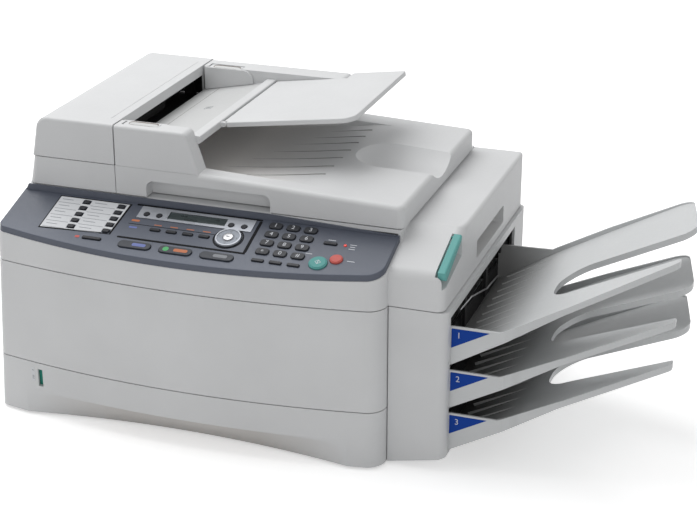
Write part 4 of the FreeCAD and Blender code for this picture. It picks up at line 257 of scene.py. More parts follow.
def metal(name, shade, roughness, stretch=(1, 1, 1), scale=900.0):
    """Plated or lacquered metal with a drawn grain."""
    material, tree, shader = shader_of(name)
    colour = linear(*shade)
    grain = noise(tree, scale, 3.0, stretch)
    tone = mixed(tree, grain, [c * 0.9 for c in colour], colour)
    tree.links.new(tone, shader.inputs["Base Color"])
    shader.inputs["Metallic"].default_value = 1.0
    rough = spread(tree, grain, roughness - BRUSHED_SPREAD, roughness + BRUSHED_SPREAD)
    tree.links.new(rough, shader.inputs["Roughness"])
    sink(tree, shader, grain, 0.06, BRUSHED_HEIGHT)
    return material


def panel_plastic():
    """Blue-grey panel lacquer, paler towards its front edge as painted light, in one painted shade
    on its lip and kerb.
    """
    material, tree, shader = shader_of("panel_blue_grey")
    # Painted light: a gradient from darker at the rear edge to paler at the front edge.
    painted_light_fade = ramp(tree, object_axes(tree)["Y"], (PANEL_REAR - MIDDLE_Y) * MM, -MIDDLE_Y * MM)
    tone = mixed(tree, painted_light_fade, linear(68, 73, 85), linear(93, 99, 112))
    height = tree.nodes.new("ShaderNodeVectorMath")
    height.operation = "DOT_PRODUCT"
    height.inputs[1].default_value = PANEL_OUT
    tree.links.new(object_place(tree), height.inputs[0])
    on_face = tree.nodes.new("ShaderNodeMath")
    on_face.operation = "COMPARE"
    rear_edge = Vector((0, PANEL_REAR - MIDDLE_Y, PANEL_REAR_HEIGHT))
    on_face.inputs[1].default_value = PANEL_OUT.dot(rear_edge) * MM
    on_face.inputs[2].default_value = PANEL_SKIN
    tree.links.new(height.outputs["Value"], on_face.inputs[0])
    # Painted shade: off the panel's face, on its lip and kerb, one colour darker than the face's
    # front.
    whole = mixed(tree, on_face.outputs["Value"], linear(84, 89, 101), tone)
    tree.links.new(whole, shader.inputs["Base Color"])
    tree.links.new(spread(tree, noise(tree, 320.0), 0.38, 0.46), shader.inputs["Roughness"])
    shader.inputs["Specular IOR Level"].default_value = 0.35
    sink(tree, shader, noise(tree, 1900.0, 1.0), 0.06, GRAIN_HEIGHT)
    return material


def clear_glass():
    material, tree, shader = shader_of("scanner_glass_clear")
    tone = mixed(tree, noise(tree, 5.0), linear(214, 232, 228), linear(226, 240, 236))
    tree.links.new(tone, shader.inputs["Base Color"])
    shader.inputs["Roughness"].default_value = 0.03
    shader.inputs["Transmission Weight"].default_value = 0.92
    shader.inputs["IOR"].default_value = 1.5
    return material


def circuit_green():
    """Board lacquer over copper runs."""
    material, tree, shader = shader_of("board_green")
    runs = tree.nodes.new("ShaderNodeTexBrick")
    runs.inputs["Scale"].default_value = 90.0
    runs.inputs["Color1"].default_value = (*linear(30, 92, 56), 1)
    runs.inputs["Color2"].default_value = (*linear(36, 104, 62), 1)
    runs.inputs["Mortar"].default_value = (*linear(70, 140, 84), 1)
    runs.inputs["Mortar Size"].default_value = 0.03
    flat = tree.nodes.new("ShaderNodeMapping")
    flat.inputs["Rotation"].default_value = (math.radians(90), 0, 0)
    tree.links.new(object_place(tree), flat.inputs["Vector"])
    tree.links.new(flat.outputs["Vector"], runs.inputs["Vector"])
    tree.links.new(runs.outputs["Color"], shader.inputs["Base Color"])
    shader.inputs["Roughness"].default_value = 0.35
    return material


def lamp_red():
    material, tree, shader = shader_of("lamp_red")
    tone = mixed(tree, noise(tree, 700.0), linear(196, 40, 34), linear(222, 66, 52))
    tree.links.new(tone, shader.inputs["Base Color"])
    shader.inputs["Roughness"].default_value = 0.2
    shader.inputs["Emission Color"].default_value = (*linear(222, 50, 40), 1)
    shader.inputs["Emission Strength"].default_value = 0.25
    return material


def casing_plastic(name):
    return moulded(name, (208, 209, 210), 0.5)


def tray_plastic(name):
    return moulded(name, (197, 199, 200), 0.42, gloss=0.5)


casing_grey = casing_plastic("casing_grey")
tray_grey = tray_plastic("tray_grey")
panel_grey = panel_plastic()
key_black = moulded("key_black", (30, 32, 38), 0.45, grain_depth=0.05, gloss=0.3)
key_slate = moulded("key_slate", (46, 50, 58), 0.42, grain_depth=0.05, gloss=0.3)
teal = moulded("teal_plastic", (100, 166, 162), 0.42, grain_depth=0.05, gloss=0.2)
flag_green = moulded("flag_green", (52, 152, 134), 0.45, grain_depth=0.05)
start_teal = moulded("start_teal", (88, 154, 150), 0.45, grain_depth=0.05, gloss=0.15)
stop_red = moulded("stop_red", (194, 92, 85), 0.42, grain_depth=0.05, gloss=0.2)
inner_black = moulded("inner_black", (26, 26, 27), 0.6)
socket_black = moulded("socket_black", (30, 30, 32), 0.5)
rubber_dark = moulded("rubber_dark", (40, 40, 40), 0.85, mottle=0.08, grain=700.0, gloss=0.2)
pad_white = moulded("pad_white", (238, 238, 235), 0.75, grain=500.0, grain_depth=0.2)
rib_grey = moulded("rib_grey", (200, 201, 201), 0.45)
# Painted shade: the basin ribs and the feed step are darker than the casing, for the shade along
# their sides.
rib_painted_shade = moulded("rib_painted_shade", (138, 137, 135), 0.6, gloss=0.2)
well_painted_shade = moulded("well_painted_shade", (122, 115, 110), 0.6, gloss=0.2)
feed_grey = moulded("feed_grey", (198, 199, 199), 0.5)
liner_painted_light = moulded("liner_painted_light", (222, 217, 211), 0.55)
silver = metal("silver_lacquer", (156, 159, 165), 0.45, scale=1600.0)
dial_silver = metal("dial_silver", (114, 118, 124), 0.44, scale=1600.0)
zinc_sheet = metal("zinc_sheet", (168, 170, 171), 0.42, stretch=(1, 12, 1))
plated_steel = metal("plated_steel", (182, 182, 184), 0.3)
wire_steel = metal("wire_steel", (176, 176, 178), 0.34)
pane = clear_glass()
board = circuit_green()
red_lamp = lamp_red()
card_white = printed("card_white", (208, 210, 213))
line_black = printed("line_black", (14, 15, 18), 0.6, 0.1)
line_grey = printed("line_grey", (132, 135, 142))
ink_white = printed("ink_white", (198, 201, 206))
ink_grey = printed("ink_grey", (128, 131, 136))
ink_orange = printed("ink_orange", (188, 112, 74))
ink_blue = printed("ink_blue", (104, 116, 172))
ink_green = printed("ink_green", (78, 168, 104))
label_blue = printed("label_blue", (14, 60, 146), 0.5, 0.12)
lcd_dark = printed("lcd_dark", (62, 70, 71), 0.12)
lcd_ink = printed("lcd_ink", (28, 33, 33), 0.2)
vent_painted_shade = printed("vent_painted_shade", (30, 30, 31), 0.7)

# Boxes in which a node has another colour, painted light and shade among them, each limit as axis,
# outer and inner end
BASIN_PAINTED_LIGHT = (("X", 318.0, 210.0), ("X", 120.0, 124.0), ("Y", 98.0, 101.0),
               ("Y", 314.0, 311.0), ("Z", 276.0, 268.0))
FEEDER_PIT = (("X", 29.0, 30.0), ("X", 119.5, 119.0), ("Y", 81.0, 82.0), ("Y", 342.0, 341.0),
              ("Z", 271.0, 272.0), ("Z", 301.0, 300.0))
HOOD_INSIDE = (("X", 26.0, 28.0), ("X", 118.5, 117.5), ("Y", 81.0, 82.5), ("Y", 342.0, 340.5),
               ("Z", 315.6, 314.6))
GRIP_PAINTED_SHADE = (("X", 44.0, 150.0), ("X", 398.0, 300.0), ("Z", 34.4, 33.4))
GRIP_NEAR, GRIP_FAR = 0.4, 1.6
TRAY_ROOT_PAINTED_SHADE = (("X", 566.0, 496.0), ("Y", 54.4, 56.0), ("Y", 280.6, 279.0))
FEEDER_BLACK = (30, 30, 31)

# The cover is paler on the basin's floor, a painted light in the hollow's shade, and the feeder is
# black inside.
cover_painted_light = casing_plastic("cover_painted_light")
tinted(cover_painted_light, within(cover_painted_light.node_tree, BASIN_PAINTED_LIGHT), (247, 244, 241))
tinted(cover_painted_light, within(cover_painted_light.node_tree, FEEDER_PIT), FEEDER_BLACK)
hood_grey = casing_plastic("hood_grey")
tinted(hood_grey, within(hood_grey.node_tree, HOOD_INSIDE), FEEDER_BLACK)
# The drawer front is a little darker in its finger hollow, a painted shade.
drawer_painted_shade = casing_plastic("drawer_painted_shade")
grip_shade_depth = behind_bow(drawer_painted_shade.node_tree, GRIP_NEAR, GRIP_FAR)
tinted(drawer_painted_shade, within(drawer_painted_shade.node_tree, GRIP_PAINTED_SHADE, grip_shade_depth), (188, 185, 182))

SLOT_FINISHES = {"casing": casing_grey, "tray_grey": tray_grey, "panel_blue_grey": panel_grey,
                 "silver": silver, "key_black": key_black, "key_grey": key_slate, "teal": teal,
                 "red": stop_red, "black_plastic": inner_black, "sheet_metal": zinc_sheet,
                 "steel": plated_steel, "rubber": rubber_dark, "glass": pane,
                 "board_green": board, "socket_black": socket_black, "pad_white": pad_white}
NODE_FINISHES = {"level_flag": flag_green, "navigator_key": dial_silver, "start_key": start_teal,
                 "document_cover": cover_painted_light, "adf_cover": hood_grey,
                 "cassette_front": drawer_painted_shade}
# The trays are darker deep in the casing's mouth, a painted shade.
for level, shade in (("top", (136, 136, 136)), ("middle", (92, 91, 90)), ("bottom", (92, 91, 90))):
    root_shaded_tray = tray_plastic(f"tray_grey_{level}")
    tinted(root_shaded_tray, within(root_shaded_tray.node_tree, TRAY_ROOT_PAINTED_SHADE), shade)
    NODE_FINISHES[f"output_tray_{level}"] = root_shaded_tray
for row in frame["record"]["subparts"]:
    finish = NODE_FINISHES.get(row["node"], SLOT_FINISHES[row["material_slot"]])
    mesh = frame["nodes"][row["node"]].data
    mesh.materials.clear()
    mesh.materials.append(finish)


# Shapes

NEAR = 1e-6
WELD = 1e-5
SHARP = math.radians(35)
INK_HEIGHT = 0.12
MARK_ROUND = 0.35


def upright_edges(shape):
    return [e for e in shape.edges if abs(e.verts[0].co.z - e.verts[1].co.z) > NEAR
            and (e.verts[0].co - e.verts[1].co).xy.length < NEAR]


def top_rim(shape):
    """The edges round the top face."""
    top = max(v.co.z for v in shape.verts)
    return [e for e in shape.edges if all(abs(v.co.z - top) < NEAR for v in e.verts)
            and any(f.normal.z < 0.5 for f in e.link_faces)]


def soften(shape, edges, size, steps):
    bmesh.ops.bevel(shape, geom=edges, offset=size, offset_type="OFFSET", affect="EDGES",
                    segments=steps, profile=0.5, material=-1, clamp_overlap=True)
    return shape


def cut(shape, point, normal):
    bmesh.ops.bisect_plane(shape, geom=shape.verts[:] + shape.edges[:] + shape.faces[:],
                           plane_co=point, plane_no=normal)


def plate(width, length, height, corner, edge=0.0, steps=4):
    """A plate on its base, with round corners and a soft top rim."""
    shape = bmesh.new()
    bmesh.ops.create_cube(shape, size=1.0)
    bmesh.ops.scale(shape, vec=(width, length, height), verts=shape.verts)
    bmesh.ops.translate(shape, vec=(0, 0, height / 2), verts=shape.verts)
    if corner:
        soften(shape, upright_edges(shape), corner, steps)
    if edge:
        shape.normal_update()
        soften(shape, top_rim(shape), edge, 2)
    return shape


def bar(width, length, height, corner):
    """A small sharp-topped plate, for a printed mark."""
    return plate(width, length, height, corner, steps=2)


def disc(radius, height, edge=0.0, sides=48, top=None):
    """A round boss on its base, tapered to a top radius where one is given."""
    shape = bmesh.new()
    bmesh.ops.create_cone(shape, cap_ends=True, segments=sides, radius1=radius,
                          radius2=radius if top is None else top, depth=height)
    bmesh.ops.translate(shape, vec=(0, 0, height / 2), verts=shape.verts)
    if edge:
        shape.normal_update()
        soften(shape, top_rim(shape), edge, 3)
    return shape


def ring(inner, outer, height, edge, sides=48):
    """A flat ring with a soft top, spun from its section."""
    shape = bmesh.new()
    section = [shape.verts.new((x, 0, z)) for x, z in (
        (inner, 0), (outer, 0), (outer, height - edge), (outer - edge, height),
        (inner + edge, height), (inner, height - edge))]
    loop = [shape.edges.new(ends) for ends in zip(section, section[1:] + section[:1])]
    bmesh.ops.spin(shape, geom=section + loop, cent=(0, 0, 0), axis=(0, 0, 1), angle=math.tau,
                   steps=sides, use_merge=True)
    bmesh.ops.remove_doubles(shape, verts=shape.verts, dist=WELD)
    bmesh.ops.recalc_face_normals(shape, faces=shape.faces)
    return shape


def sheet_of(corners, height, holes=()):
    """A thin flat sheet from its corners, with square holes as (left, right, front, rear)."""
    shape = bmesh.new()
    shape.faces.new([shape.verts.new((x, y, 0)) for x, y in corners])
    for x in sorted({side for hole in holes for side in hole[:2]}):
        cut(shape, (x, 0, 0), (1, 0, 0))
    for y in sorted({end for hole in holes for end in hole[2:]}):
        cut(shape, (0, y, 0), (0, 1, 0))
    inside = [f for f in shape.faces for left, right, front, rear in holes
              if left < f.calc_center_median().x < right
              and front < f.calc_center_median().y < rear]
    bmesh.ops.delete(shape, geom=inside, context="FACES")
    grown = bmesh.ops.extrude_face_region(shape, geom=shape.faces[:])["geom"]
    bmesh.ops.translate(shape, vec=(0, 0, height),
                        verts=[g for g in grown if isinstance(g, bmesh.types.BMVert)])
    bmesh.ops.recalc_face_normals(shape, faces=shape.faces)
    return shape


def figures(text, size, height):
    """Plain figures as a thin raised mesh, centred on the origin."""
    curve = bpy.data.curves.new("figures", "FONT")
    curve.body = text
    curve.size = size
    curve.align_x = "CENTER"
    curve.align_y = "CENTER"
    curve.extrude = height / 2
    curve.resolution_u = 4
    holder = bpy.data.objects.new("figures", curve)
    bpy.context.scene.collection.objects.link(holder)
    bpy.context.view_layer.update()
    finished = holder.evaluated_get(bpy.context.evaluated_depsgraph_get())
    mesh = bpy.data.meshes.new_from_object(finished)
    shape = bmesh.new()
    shape.from_mesh(mesh)
    bmesh.ops.remove_doubles(shape, verts=shape.verts, dist=WELD)
    bmesh.ops.translate(shape, vec=(0, 0, height / 2), verts=shape.verts)
    bpy.data.objects.remove(holder)
    bpy.data.curves.remove(curve)
    bpy.data.meshes.remove(mesh)
    return shape


def piece(name, parts, material, body, smooth=True):
    """One object from shapes and their places, riding on a body."""
    whole = bmesh.new()
    for shape, place in parts:
        shape.transform(TO_FRAME @ place)
        passing = bpy.data.meshes.new("passing")
        shape.to_mesh(passing)
        whole.from_mesh(passing)
        bpy.data.meshes.remove(passing)
        shape.free()
    mesh = bpy.data.meshes.new(name)
    whole.to_mesh(mesh)
    whole.free()
    if smooth:
        mesh.shade_smooth()
        mesh.set_sharp_from_angle(angle=SHARP)
    mesh.materials.append(material)
    made = bpy.data.objects.new(name, mesh)
    bpy.context.scene.collection.objects.link(made)
    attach(made, body)


def marks(name, rows, material, body, lift=0.0, height=INK_HEIGHT):
    """Small printed bars on the panel, each given as (x, y, width, length)."""
    piece(name, [(bar(w, l, height, min(w, l) * MARK_ROUND), on_panel(x, y, lift))
                 for x, y, w, l in rows], material, body)


# Control panel: places are x and y on the plan

TOUCH_COLUMNS = (91.0, 131.0)
TOUCH_ROWS = [69.5 - 9.46 * row for row in range(5)]
TOUCH_HALF_WIDTH, TOUCH_HALF_LENGTH = 4.7, 3.4
CARD = ((58.0, 26.0), (135.5, 29.4), (138.5, 74.0), (59.0, 74.0))
CARD_SHADOW = ((56.6, 24.2), (137.6, 27.6), (140.8, 75.4), (57.8, 75.4))
WRITING_SPANS = ((60.0, 85.0), (97.0, 125.0))


def touch_card(corners, height):
    """A sheet on the panel with holes for the one-touch keys."""
    holes = [(x - TOUCH_HALF_WIDTH, x + TOUCH_HALF_WIDTH,
              slope(y) - TOUCH_HALF_LENGTH, slope(y) + TOUCH_HALF_LENGTH)
             for x in TOUCH_COLUMNS for y in TOUCH_ROWS]
    return sheet_of([(x, slope(y)) for x, y in corners], height, holes)


# Painted shadow: a black sheet a little larger than the card, which shows as a dark rim at its
# edges.
piece("card_shadow", [(touch_card(CARD_SHADOW, 0.1), PANEL)], line_black, "top_unit",
      False)
piece("name_card", [(touch_card(CARD, 0.22), PANEL)], card_white, "top_unit", False)
card_lines = []
for y in TOUCH_ROWS:
    for left, right in WRITING_SPANS:
        card_lines.append(((left + right) / 2, y - 4.4, right - left, 0.5))
        card_lines.append(((left + right) / 2 - 4, y + 0.6, (right - left) * 0.5, 0.7))
marks("card_lines", card_lines, line_grey, "top_unit", 0.2)

# Painted shadow: black bars in the grooves round the display plate.
FRAME_SHADOW_LINES = ((216.4, 26.3, 140.4, 2.4), (285.5, 51.0, 3.2, 49.4), (216.4, 76.2, 140.4, 2.2))
marks("display_frame_shadow", FRAME_SHADOW_LINES, line_black, "top_unit", -1.1, 1.35)
marks("display_rule", [(197.5, 47.4, 97.0, 0.7)], line_black, "top_unit")

LCD_SIZE = (63.6, 10.9, 0.9)
LCD_FIGURES = (("12:00", 3.6, 203.0, 67.7), ("00", 3.6, 240.0, 67.7),
               ("0000000000", 3.0, 212.0, 63.3))
piece("lcd_screen", [(plate(*LCD_SIZE, 0.4, 0.1), on_panel(218.5, 65.75, -0.88))],
      lcd_dark, "top_unit")
piece("lcd_figures", [(figures(text, size, 0.06), on_panel(x, y, 0.01))
                      for text, size, x, y in LCD_FIGURES], lcd_ink, "top_unit", False)

SLIM_KEYS = [181.4 + 18.1 * place for place in range(4)]
LEGENDS = ((366.5, 61.0, 8.0, 0.9), (390.0, 58.0, 7.0, 0.8), (390.0, 55.0, 5.5, 0.8),
           (390.0, 52.0, 6.5, 0.8), (395.0, 35.0, 8.0, 0.9), (350.0, 38.5, 7.0, 0.9),
           (172.0, 70.5, 9.0, 0.7), (264.0, 70.5, 9.0, 0.7))
orange_marks = [(x, 49.6, 8.5, 1.2) for x in SLIM_KEYS] + [(155.0, 52.6, 9.0, 3.0)]
marks("orange_marks", orange_marks, ink_orange, "top_unit")
marks("blue_mark", [(156.5, 42.4, 9.0, 2.6)], ink_blue, "top_unit")
marks("lone_key_mark", [(104.5, 18.8, 5.0, 3.2)], stop_red, "top_unit", height=0.2)
marks("panel_legends", LEGENDS, ink_white, "top_unit")
piece("message_lamp", [(disc(1.7, 0.9, 0.6, 24), on_panel(382.0, 56.0))], red_lamp, "top_unit")

MODE_ROW = 16.6
MODE_MARKS = (("left", 175.2, ink_blue), ("middle", 221.2, ink_orange), ("right", 264.2, ink_grey))
for name, x, ink in MODE_MARKS:
    marks(f"mode_mark_{name}", [(x, MODE_ROW, 15.0, 4.4)], ink, f"mode_key_{name}_body",
          KEY_RISE)
piece("eco_mark", [(disc(3.2, 0.15, 0, 32), on_panel(205.0, MODE_ROW, KEY_RISE))], ink_green,
      "mode_key_middle_body")

DIAL = (("one", "1"), ("two", "2"), ("three", "3"), ("four", "4"), ("five", "5"), ("six", "6"),
        ("seven", "7"), ("eight", "8"), ("nine", "9"), ("star", "*"), ("zero", "0"), ("hash", "#"))
DIAL_LEFT, DIAL_PITCH = 303.0, 18.8
DIAL_REAR, DIAL_ROW = 70.3, 12.7
STAR_DROP = -1.2
for place, (name, figure) in enumerate(DIAL):
    x = DIAL_LEFT + DIAL_PITCH * (place % 3)
    y = DIAL_REAR - DIAL_ROW * (place // 3)
    drop = STAR_DROP if figure == "*" else 0.0
    piece(f"dial_figure_{name}", [(figures(figure, 7.2, 0.1), on_panel(x, y + drop, KEY_RISE))],
          ink_white, f"dial_key_{name}_body", False)

NAVIGATOR_PLACE = (261.4, 44.6)
NAVIGATOR = on_panel(*NAVIGATOR_PLACE, KEY_RISE)
piece("navigator_seat", [(ring(14.7, 16.1, 0.25, 0.1), on_panel(*NAVIGATOR_PLACE))], line_black,
      "top_unit")
piece("navigator_rim", [(ring(11.6, 13.4, 0.7, 0.3), NAVIGATOR)], silver, "navigator_key_body")
piece("navigator_groove", [(ring(5.6, 6.5, 0.3, 0.1), NAVIGATOR)], line_grey,
      "navigator_key_body")
piece("navigator_button", [(disc(5.2, 1.1, 0.5, 40), NAVIGATOR)], plated_steel,
      "navigator_key_body")
arrows = [(disc(1.3, INK_HEIGHT, 0, 3), NAVIGATOR @ turned(90 * quarter, "Z") @ at(0, 9.2, 0))
          for quarter in range(4)]
arrows.append((bar(3.4, 1.6, INK_HEIGHT, 0.3), NAVIGATOR @ at(0, 0, 1.08)))
piece("navigator_marks", arrows, ink_grey, "navigator_key_body", False)

START = on_panel(363.9, 26.5, KEY_RISE)
START_TOP = START @ at(0, 0, 0.68)
STOP = on_panel(380.0, 35.0, KEY_RISE)
piece("start_crown", [(disc(8.5, 0.7, 0.5, 48, 7.9), START)], start_teal, "start_key_body")
piece("start_mark", [(ring(2.6, 3.3, INK_HEIGHT, 0.02, 4), START_TOP),
                     (plate(0.7, 4.6, INK_HEIGHT, 0.1, steps=1), START_TOP)],
      ink_white, "start_key_body", False)
piece("stop_crown", [(disc(5.8, 0.6, 0.4, 40, 5.3), STOP)], stop_red, "stop_key_body")


# Document cover and feeder

BASIN_RIB_WIDTH = 0.8
BASIN_RIB_RISE = 0.8
BASIN_RIB_ROOT = -0.2
BASIN_RIB_END = 331.0
BASIN_RIB_STEPS = 12
# Each rib's y and its left end
BASIN_RIBS = ((140.0, 190.0), (166.0, 206.0), (194.0, 224.0), (220.0, 238.0), (246.0, 254.0),
              (269.0, 268.0), (292.0, 280.0))


def basin_level(x):
    """Height of the basin's bent floor."""
    if x > BASIN_TURN:
        return BASIN_HIGH - BASIN_BLEND + math.sqrt(BASIN_BLEND ** 2 - (BASIN_RIGHT - x) ** 2)
    return BASIN_LOW + BASIN_BEND - math.sqrt(BASIN_BEND ** 2 - (x - BASIN_LEFT) ** 2)


def basin_rib(start, end, y):
    """A rib that follows the floor, low and thin at its left end."""
    length = end - start
    shape = plate(length, BASIN_RIB_WIDTH, 1.0, 0.0)
    bmesh.ops.translate(shape, vec=((start + end) / 2, y, 0), verts=shape.verts)
    for step in range(1, BASIN_RIB_STEPS):
        cut(shape, (start + length * step / BASIN_RIB_STEPS, 0, 0), (1, 0, 0))
    for corner in shape.verts:
        along = (corner.co.x - start) / length
        rise = BASIN_RIB_RISE * along if corner.co.z > 0.5 else BASIN_RIB_ROOT
        corner.co.z = basin_level(corner.co.x) + rise
        corner.co.y = y + (corner.co.y - y) * (0.3 + 0.7 * along)
    return shape


# The ribs carry a painted shade, darker than the casing.
piece("basin_ribs", [(basin_rib(start, BASIN_RIB_END, y), Matrix()) for y, start in BASIN_RIBS],
      rib_painted_shade, "lid")

FEED = at(120.0, 0, 288.1) @ Matrix.Rotation(-math.atan2(16.0, 79.5), 4, "Y")
FEED_MIDDLE = 206.0
FEED_LENGTH = 204.0
FEED_SINK = -0.05
ICON_X, ICON_Y, ICON_LIFT = 46.0, 222.0, 0.18
feed_icon = [(ring(5.2, 6.0, 0.1, 0.02, 4), FEED @ at(ICON_X, ICON_Y, ICON_LIFT)
              @ turned(45, "Z"))]
for shift in (-1.8, 0.0, 1.8):
    feed_icon.append((bar(5.0, 0.6, 0.1, 0.2), FEED @ at(ICON_X, ICON_Y + shift, ICON_LIFT)))
piece("feed_mark", feed_icon, ink_grey, "lid", False)
piece("feed_sheet", [(plate(75.0, FEED_LENGTH, 0.25, 1.0, 0.1, 2),
                      FEED @ at(40.5, FEED_MIDDLE, FEED_SINK))], feed_grey, "lid")
# The feed step carries a painted shade line.
piece("feed_step", [(plate(0.9, FEED_LENGTH, 0.3, 0.3, 0.1, 2),
                     FEED @ at(21.6, FEED_MIDDLE, FEED_SINK))], rib_painted_shade, "lid")

TAB_X = 148.0
TAB_TOP = 315.7
TAB_ROWS = (("front", 96.2), ("rear", 316.2))
# Painted shade: each tab's hollow sits in a dark rim, wider at the rear, for the shade on the
# recess's rear wall.
for name, y in TAB_ROWS:
    tab = at(TAB_X, y, TAB_TOP - 0.05)
    piece(f"guide_shadow_rim_{name}", [(plate(33.0, 11.4, 0.15, 5.4, steps=8), tab)], well_painted_shade,
          f"paper_guide_{name}_body")
    piece(f"guide_hollow_{name}", [(plate(31.4, 7.8, 0.2, 3.8, steps=8), tab @ at(0.4, -1.5, 0))],
          feed_grey, f"paper_guide_{name}_body")


# Output trays

ON_EDGE = turned(90, "X")
FIN_ROWS = [74.0 + 21.0 * row for row in range(10)]
FIN_START = 498.0
FIN_WIDTH = 0.8
FIN_SINK = 0.3
LABEL_X = 493.8
LABEL_RISE = 40.2
LABEL_CORNERS = ((0.0, 0.0), (0.0, -21.2), (38.8, 0.0))
LABEL_HEIGHT = 0.25
NUMBER_PLACE = (7.6, -7.0, LABEL_HEIGHT)
for place, (name, foot, slant, fin_height) in enumerate(TRAYS):
    rise = (FIN_START - COLUMN_RIGHT) * math.tan(math.radians(slant))
    level = foot + TRAY_RIM + rise - FIN_SINK
    fins = []
    for y in FIN_ROWS:
        fin = sheet_of(((0.0, 0.0), (62.0 + 0.05 * y, 0.0), (0.0, fin_height)), FIN_WIDTH)
        fins.append((fin, at(FIN_START, y, level) @ turned(-slant, "Y") @ ON_EDGE))
    piece(f"tray_ribs_{name}", fins, rib_grey, "base", False)
    front = at(LABEL_X, TRAY_FRONT, foot + LABEL_RISE) @ ON_EDGE
    label = sheet_of(LABEL_CORNERS, LABEL_HEIGHT)
    soften(label, upright_edges(label), 0.8, 3)
    piece(f"tray_label_{name}", [(label, front)], label_blue, "base", False)
    number = figures(str(len(TRAYS) - place), 9.0, 0.06)
    piece(f"tray_number_{name}", [(number, front @ at(*NUMBER_PLACE))], ink_white, "base",
          False)


def wire(points, radius):
    """A bent wire of round lengths and balls at its bends."""
    lengths = []
    for start, end in zip(points, points[1:]):
        run = Vector(end) - Vector(start)
        turn = run.to_track_quat("Z", "Y").to_matrix().to_4x4()
        lengths.append((disc(radius, run.length, 0, 12), at(*start) @ turn))
    for bend in points:
        ball = bmesh.new()
        bmesh.ops.create_uvsphere(ball, u_segments=12, v_segments=8, radius=radius)
        lengths.append((ball, at(*bend)))
    return lengths


WIRE = ((489.8, 100.0, 155.4), (489.8, 141.0, 152.0), (489.8, 206.0, 134.6),
        (489.8, 220.0, 134.0), (489.8, 252.0, 130.6))
piece("exit_wire", wire(WIRE, 1.0), wire_steel, "exit_flag_body")


# Casing sides

DRAWER_OUT = (-0.153, -0.988, 0.0)
LEFT_OUT = (-0.9979, 0.0, 0.0645)
RIGHT_OUT = (1, 0, 0)
BACK_OUT = (0, 1, 0)
VENT_PITCH = 8.0
VENT_SINK = 0.08
BACK_FACE = 354.0
LEVEL_CARD = facing((43.9, 13.5, 50.5), DRAWER_OUT)
RATING = facing((330.0, BACK_FACE - 0.05, 48.0), BACK_OUT)
RATING_ROWS = ((11.0, 30.0), (6.0, 46.0), (1.0, 42.0), (-4.0, 48.0), (-9.0, 24.0))


def vent(length):
    return plate(3.0, length, 0.2, 1.4, steps=3)


piece("level_card", [(plate(4.4, 16.0, 0.2, 0.8, steps=3), LEVEL_CARD)], card_white, "cassette")
piece("level_marks", [(bar(2.4, 0.7, 0.1, 0.2), LEVEL_CARD @ at(0, rise, 0.16))
                      for rise in (-5.0, -3.4, -1.8, 4.6)], ink_grey, "cassette")
# Painted shade: the vent slots are dark plates, sunk a little into the left and rear faces.
piece("left_vents", [(vent(46.0), facing((4.78, 226.0 + VENT_PITCH * place, 120.0), LEFT_OUT)
                      @ at(0, 0, -VENT_SINK)) for place in range(12)],
      vent_painted_shade, "base")
piece("rear_vents", [(vent(34.0), facing((150.0 + VENT_PITCH * place, BACK_FACE - VENT_SINK, 118.0),
                                         BACK_OUT)) for place in range(18)],
      vent_painted_shade, "base")
piece("rating_plate", [(plate(58.0, 34.0, 0.2, 1.5, steps=3), RATING)], card_white, "base")
piece("rating_lines", [(bar(width, 1.4, 0.1, 0.3), RATING @ at(width / 2 - 25.0, y, 0.15))
                       for y, width in RATING_ROWS], line_grey, "base")
# Painted light: a pale sheet on the inner wall of the handle recess, which lies in shade.
piece("handle_painted_light", [(bar(107.0, 17.5, 0.3, 1.0), facing((469.0, 215.0, 197.0), RIGHT_OUT))],
      liner_painted_light, "top_unit")


# Under the document cover

RULER_LEVEL = 240.98
TICK_LEVEL = 241.1
TICK_PITCH = 10.0
SCAN_MIDDLE, SCAN_LEVEL = 219.0, 231.35
SCAN_LENGTH = 222.0
piece("glass_ruler", [(bar(7.0, 226.0, 0.15, 0.5), at(122.0, 213.0, RULER_LEVEL))],
      card_white, "top_unit")
piece("ruler_ticks", [(plate(4.5 if place % 5 == 0 else 2.6, 0.5, 0.08, 0.1, steps=1),
                       at(123.0, 104.0 + TICK_PITCH * place, TICK_LEVEL)) for place in range(23)],
      line_black, "top_unit", False)
piece("scan_lamp", [(plate(4.0, SCAN_LENGTH, 0.5, 0.8, 0.2, 3),
                     at(83.0, SCAN_MIDDLE, SCAN_LEVEL))],
      pad_white, "scan_carriage_body")
piece("scan_slit", [(plate(2.4, SCAN_LENGTH, 0.2, 0.6, steps=3),
                     at(90.0, SCAN_MIDDLE, SCAN_LEVEL))],
      line_black, "scan_carriage_body")


# Inside the lower machine

CARTRIDGE_MIDDLE = 191.0
CARTRIDGE_LEVEL = 149.95
CARTRIDGE_LINES = ((234.0, 84.0), (240.0, 92.0), (246.0, 70.0), (252.0, 88.0))
piece("cartridge_grip", [(plate(16.0, 96.0, 5.0, 5.0, 1.5, 5),
                          at(204.0, CARTRIDGE_MIDDLE, CARTRIDGE_LEVEL))], teal, "base")
piece("cartridge_card", [(plate(34.0, 110.0, 0.2, 1.0, steps=3),
                          at(245.0, CARTRIDGE_MIDDLE, CARTRIDGE_LEVEL))],
      card_white, "base")
piece("cartridge_lines", [(bar(1.4, length, 0.1, 0.3),
                           at(x, CARTRIDGE_MIDDLE, CARTRIDGE_LEVEL + 0.15))
                          for x, length in CARTRIDGE_LINES], line_grey, "base")


# Stage and light, in metres

FLOOR_HALF = 6.0
FLOOR_GLOW = 0.45
SKY_LIGHT = 0.5


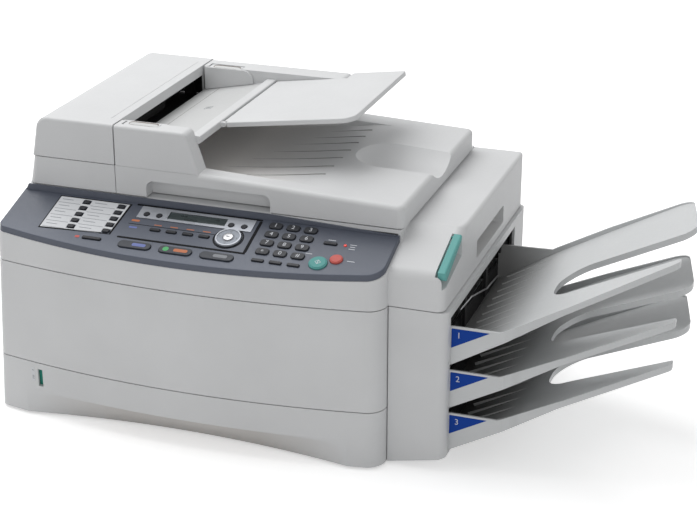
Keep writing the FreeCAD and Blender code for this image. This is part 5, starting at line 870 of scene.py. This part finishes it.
def lifted(tree, other, seen):
    """One strength where the eye, a mirror or glass looks, and another for the light it gives."""
    path = tree.nodes.new("ShaderNodeLightPath")
    total = path.outputs["Is Camera Ray"]
    for name in ("Is Glossy Ray", "Is Transmission Ray"):
        total = joined(tree, "MAXIMUM", total, path.outputs[name])
    return ramp(tree, total, 0.0, 1.0, other, seen)


def floor_paper():
    material, tree, shader = shader_of("studio_paper")
    tone = mixed(tree, noise(tree, 2.0), linear(240, 240, 240), linear(244, 244, 244))
    tree.links.new(tone, shader.inputs["Base Color"])
    shader.inputs["Roughness"].default_value = 0.9
    glow = tree.nodes.new("ShaderNodeEmission")
    tree.links.new(lifted(tree, 0.0, FLOOR_GLOW), glow.inputs["Strength"])
    both = tree.nodes.new("ShaderNodeAddShader")
    tree.links.new(shader.outputs["BSDF"], both.inputs[0])
    tree.links.new(glow.outputs["Emission"], both.inputs[1])
    tree.links.new(both.outputs["Shader"], tree.nodes["Material Output"].inputs["Surface"])
    return material


def softbox(name, place, target, size, power):
    lamp = bpy.data.lights.new(name, "AREA")
    lamp.shape = "RECTANGLE"
    lamp.size, lamp.size_y = size
    lamp.energy = power
    holder = bpy.data.objects.new(name, lamp)
    holder.location = place
    aim = Vector(target) - Vector(place)
    holder.rotation_euler = aim.to_track_quat("-Z", "Y").to_euler()
    bpy.context.scene.collection.objects.link(holder)


stage = bmesh.new()
bmesh.ops.create_grid(stage, x_segments=1, y_segments=1, size=FLOOR_HALF)
floor_mesh = bpy.data.meshes.new("studio_floor")
stage.to_mesh(floor_mesh)
stage.free()
floor_mesh.materials.append(floor_paper())
studio_floor = bpy.data.objects.new("studio_floor", floor_mesh)
bpy.context.scene.collection.objects.link(studio_floor)

softbox("top_light", (-1.0, 0.4, 2.1), (0, 0, 0.2), (2.2, 2.0), 37)
softbox("front_light", (1.2, -2.3, 1.0), (0, 0, 0.15), (1.8, 1.4), 5)

world = bpy.data.worlds.new("studio")
bpy.context.scene.world = world
world.use_nodes = True
sky_tree = world.node_tree
sky = sky_tree.nodes["Background"]
sky.inputs["Color"].default_value = (1, 1, 1, 1)
sky_tree.links.new(lifted(sky_tree, SKY_LIGHT, 1.0), sky.inputs["Strength"])


# Camera, at the photograph's viewing angle

PHOTO_WIDTH = 697.0
FOCAL_PIXELS = 1700.0
SENSOR = 36.0
AZIMUTH = math.radians(19.2)
ELEVATION = math.radians(22.8)
camera_data = bpy.data.cameras.new("camera")
camera_data.sensor_width = SENSOR
camera_data.lens = FOCAL_PIXELS / PHOTO_WIDTH * SENSOR
camera = bpy.data.objects.new("camera", camera_data)
back = Vector((math.sin(AZIMUTH) * math.cos(ELEVATION), -math.cos(AZIMUTH) * math.cos(ELEVATION),
               math.sin(ELEVATION)))
camera.location = (0.5430, -1.5912, 0.8643)
camera.rotation_euler = back.to_track_quat("Z", "Y").to_euler()
bpy.context.scene.collection.objects.link(camera)
bpy.context.scene.camera = camera
bpy.context.scene.view_settings.view_transform = "Standard"
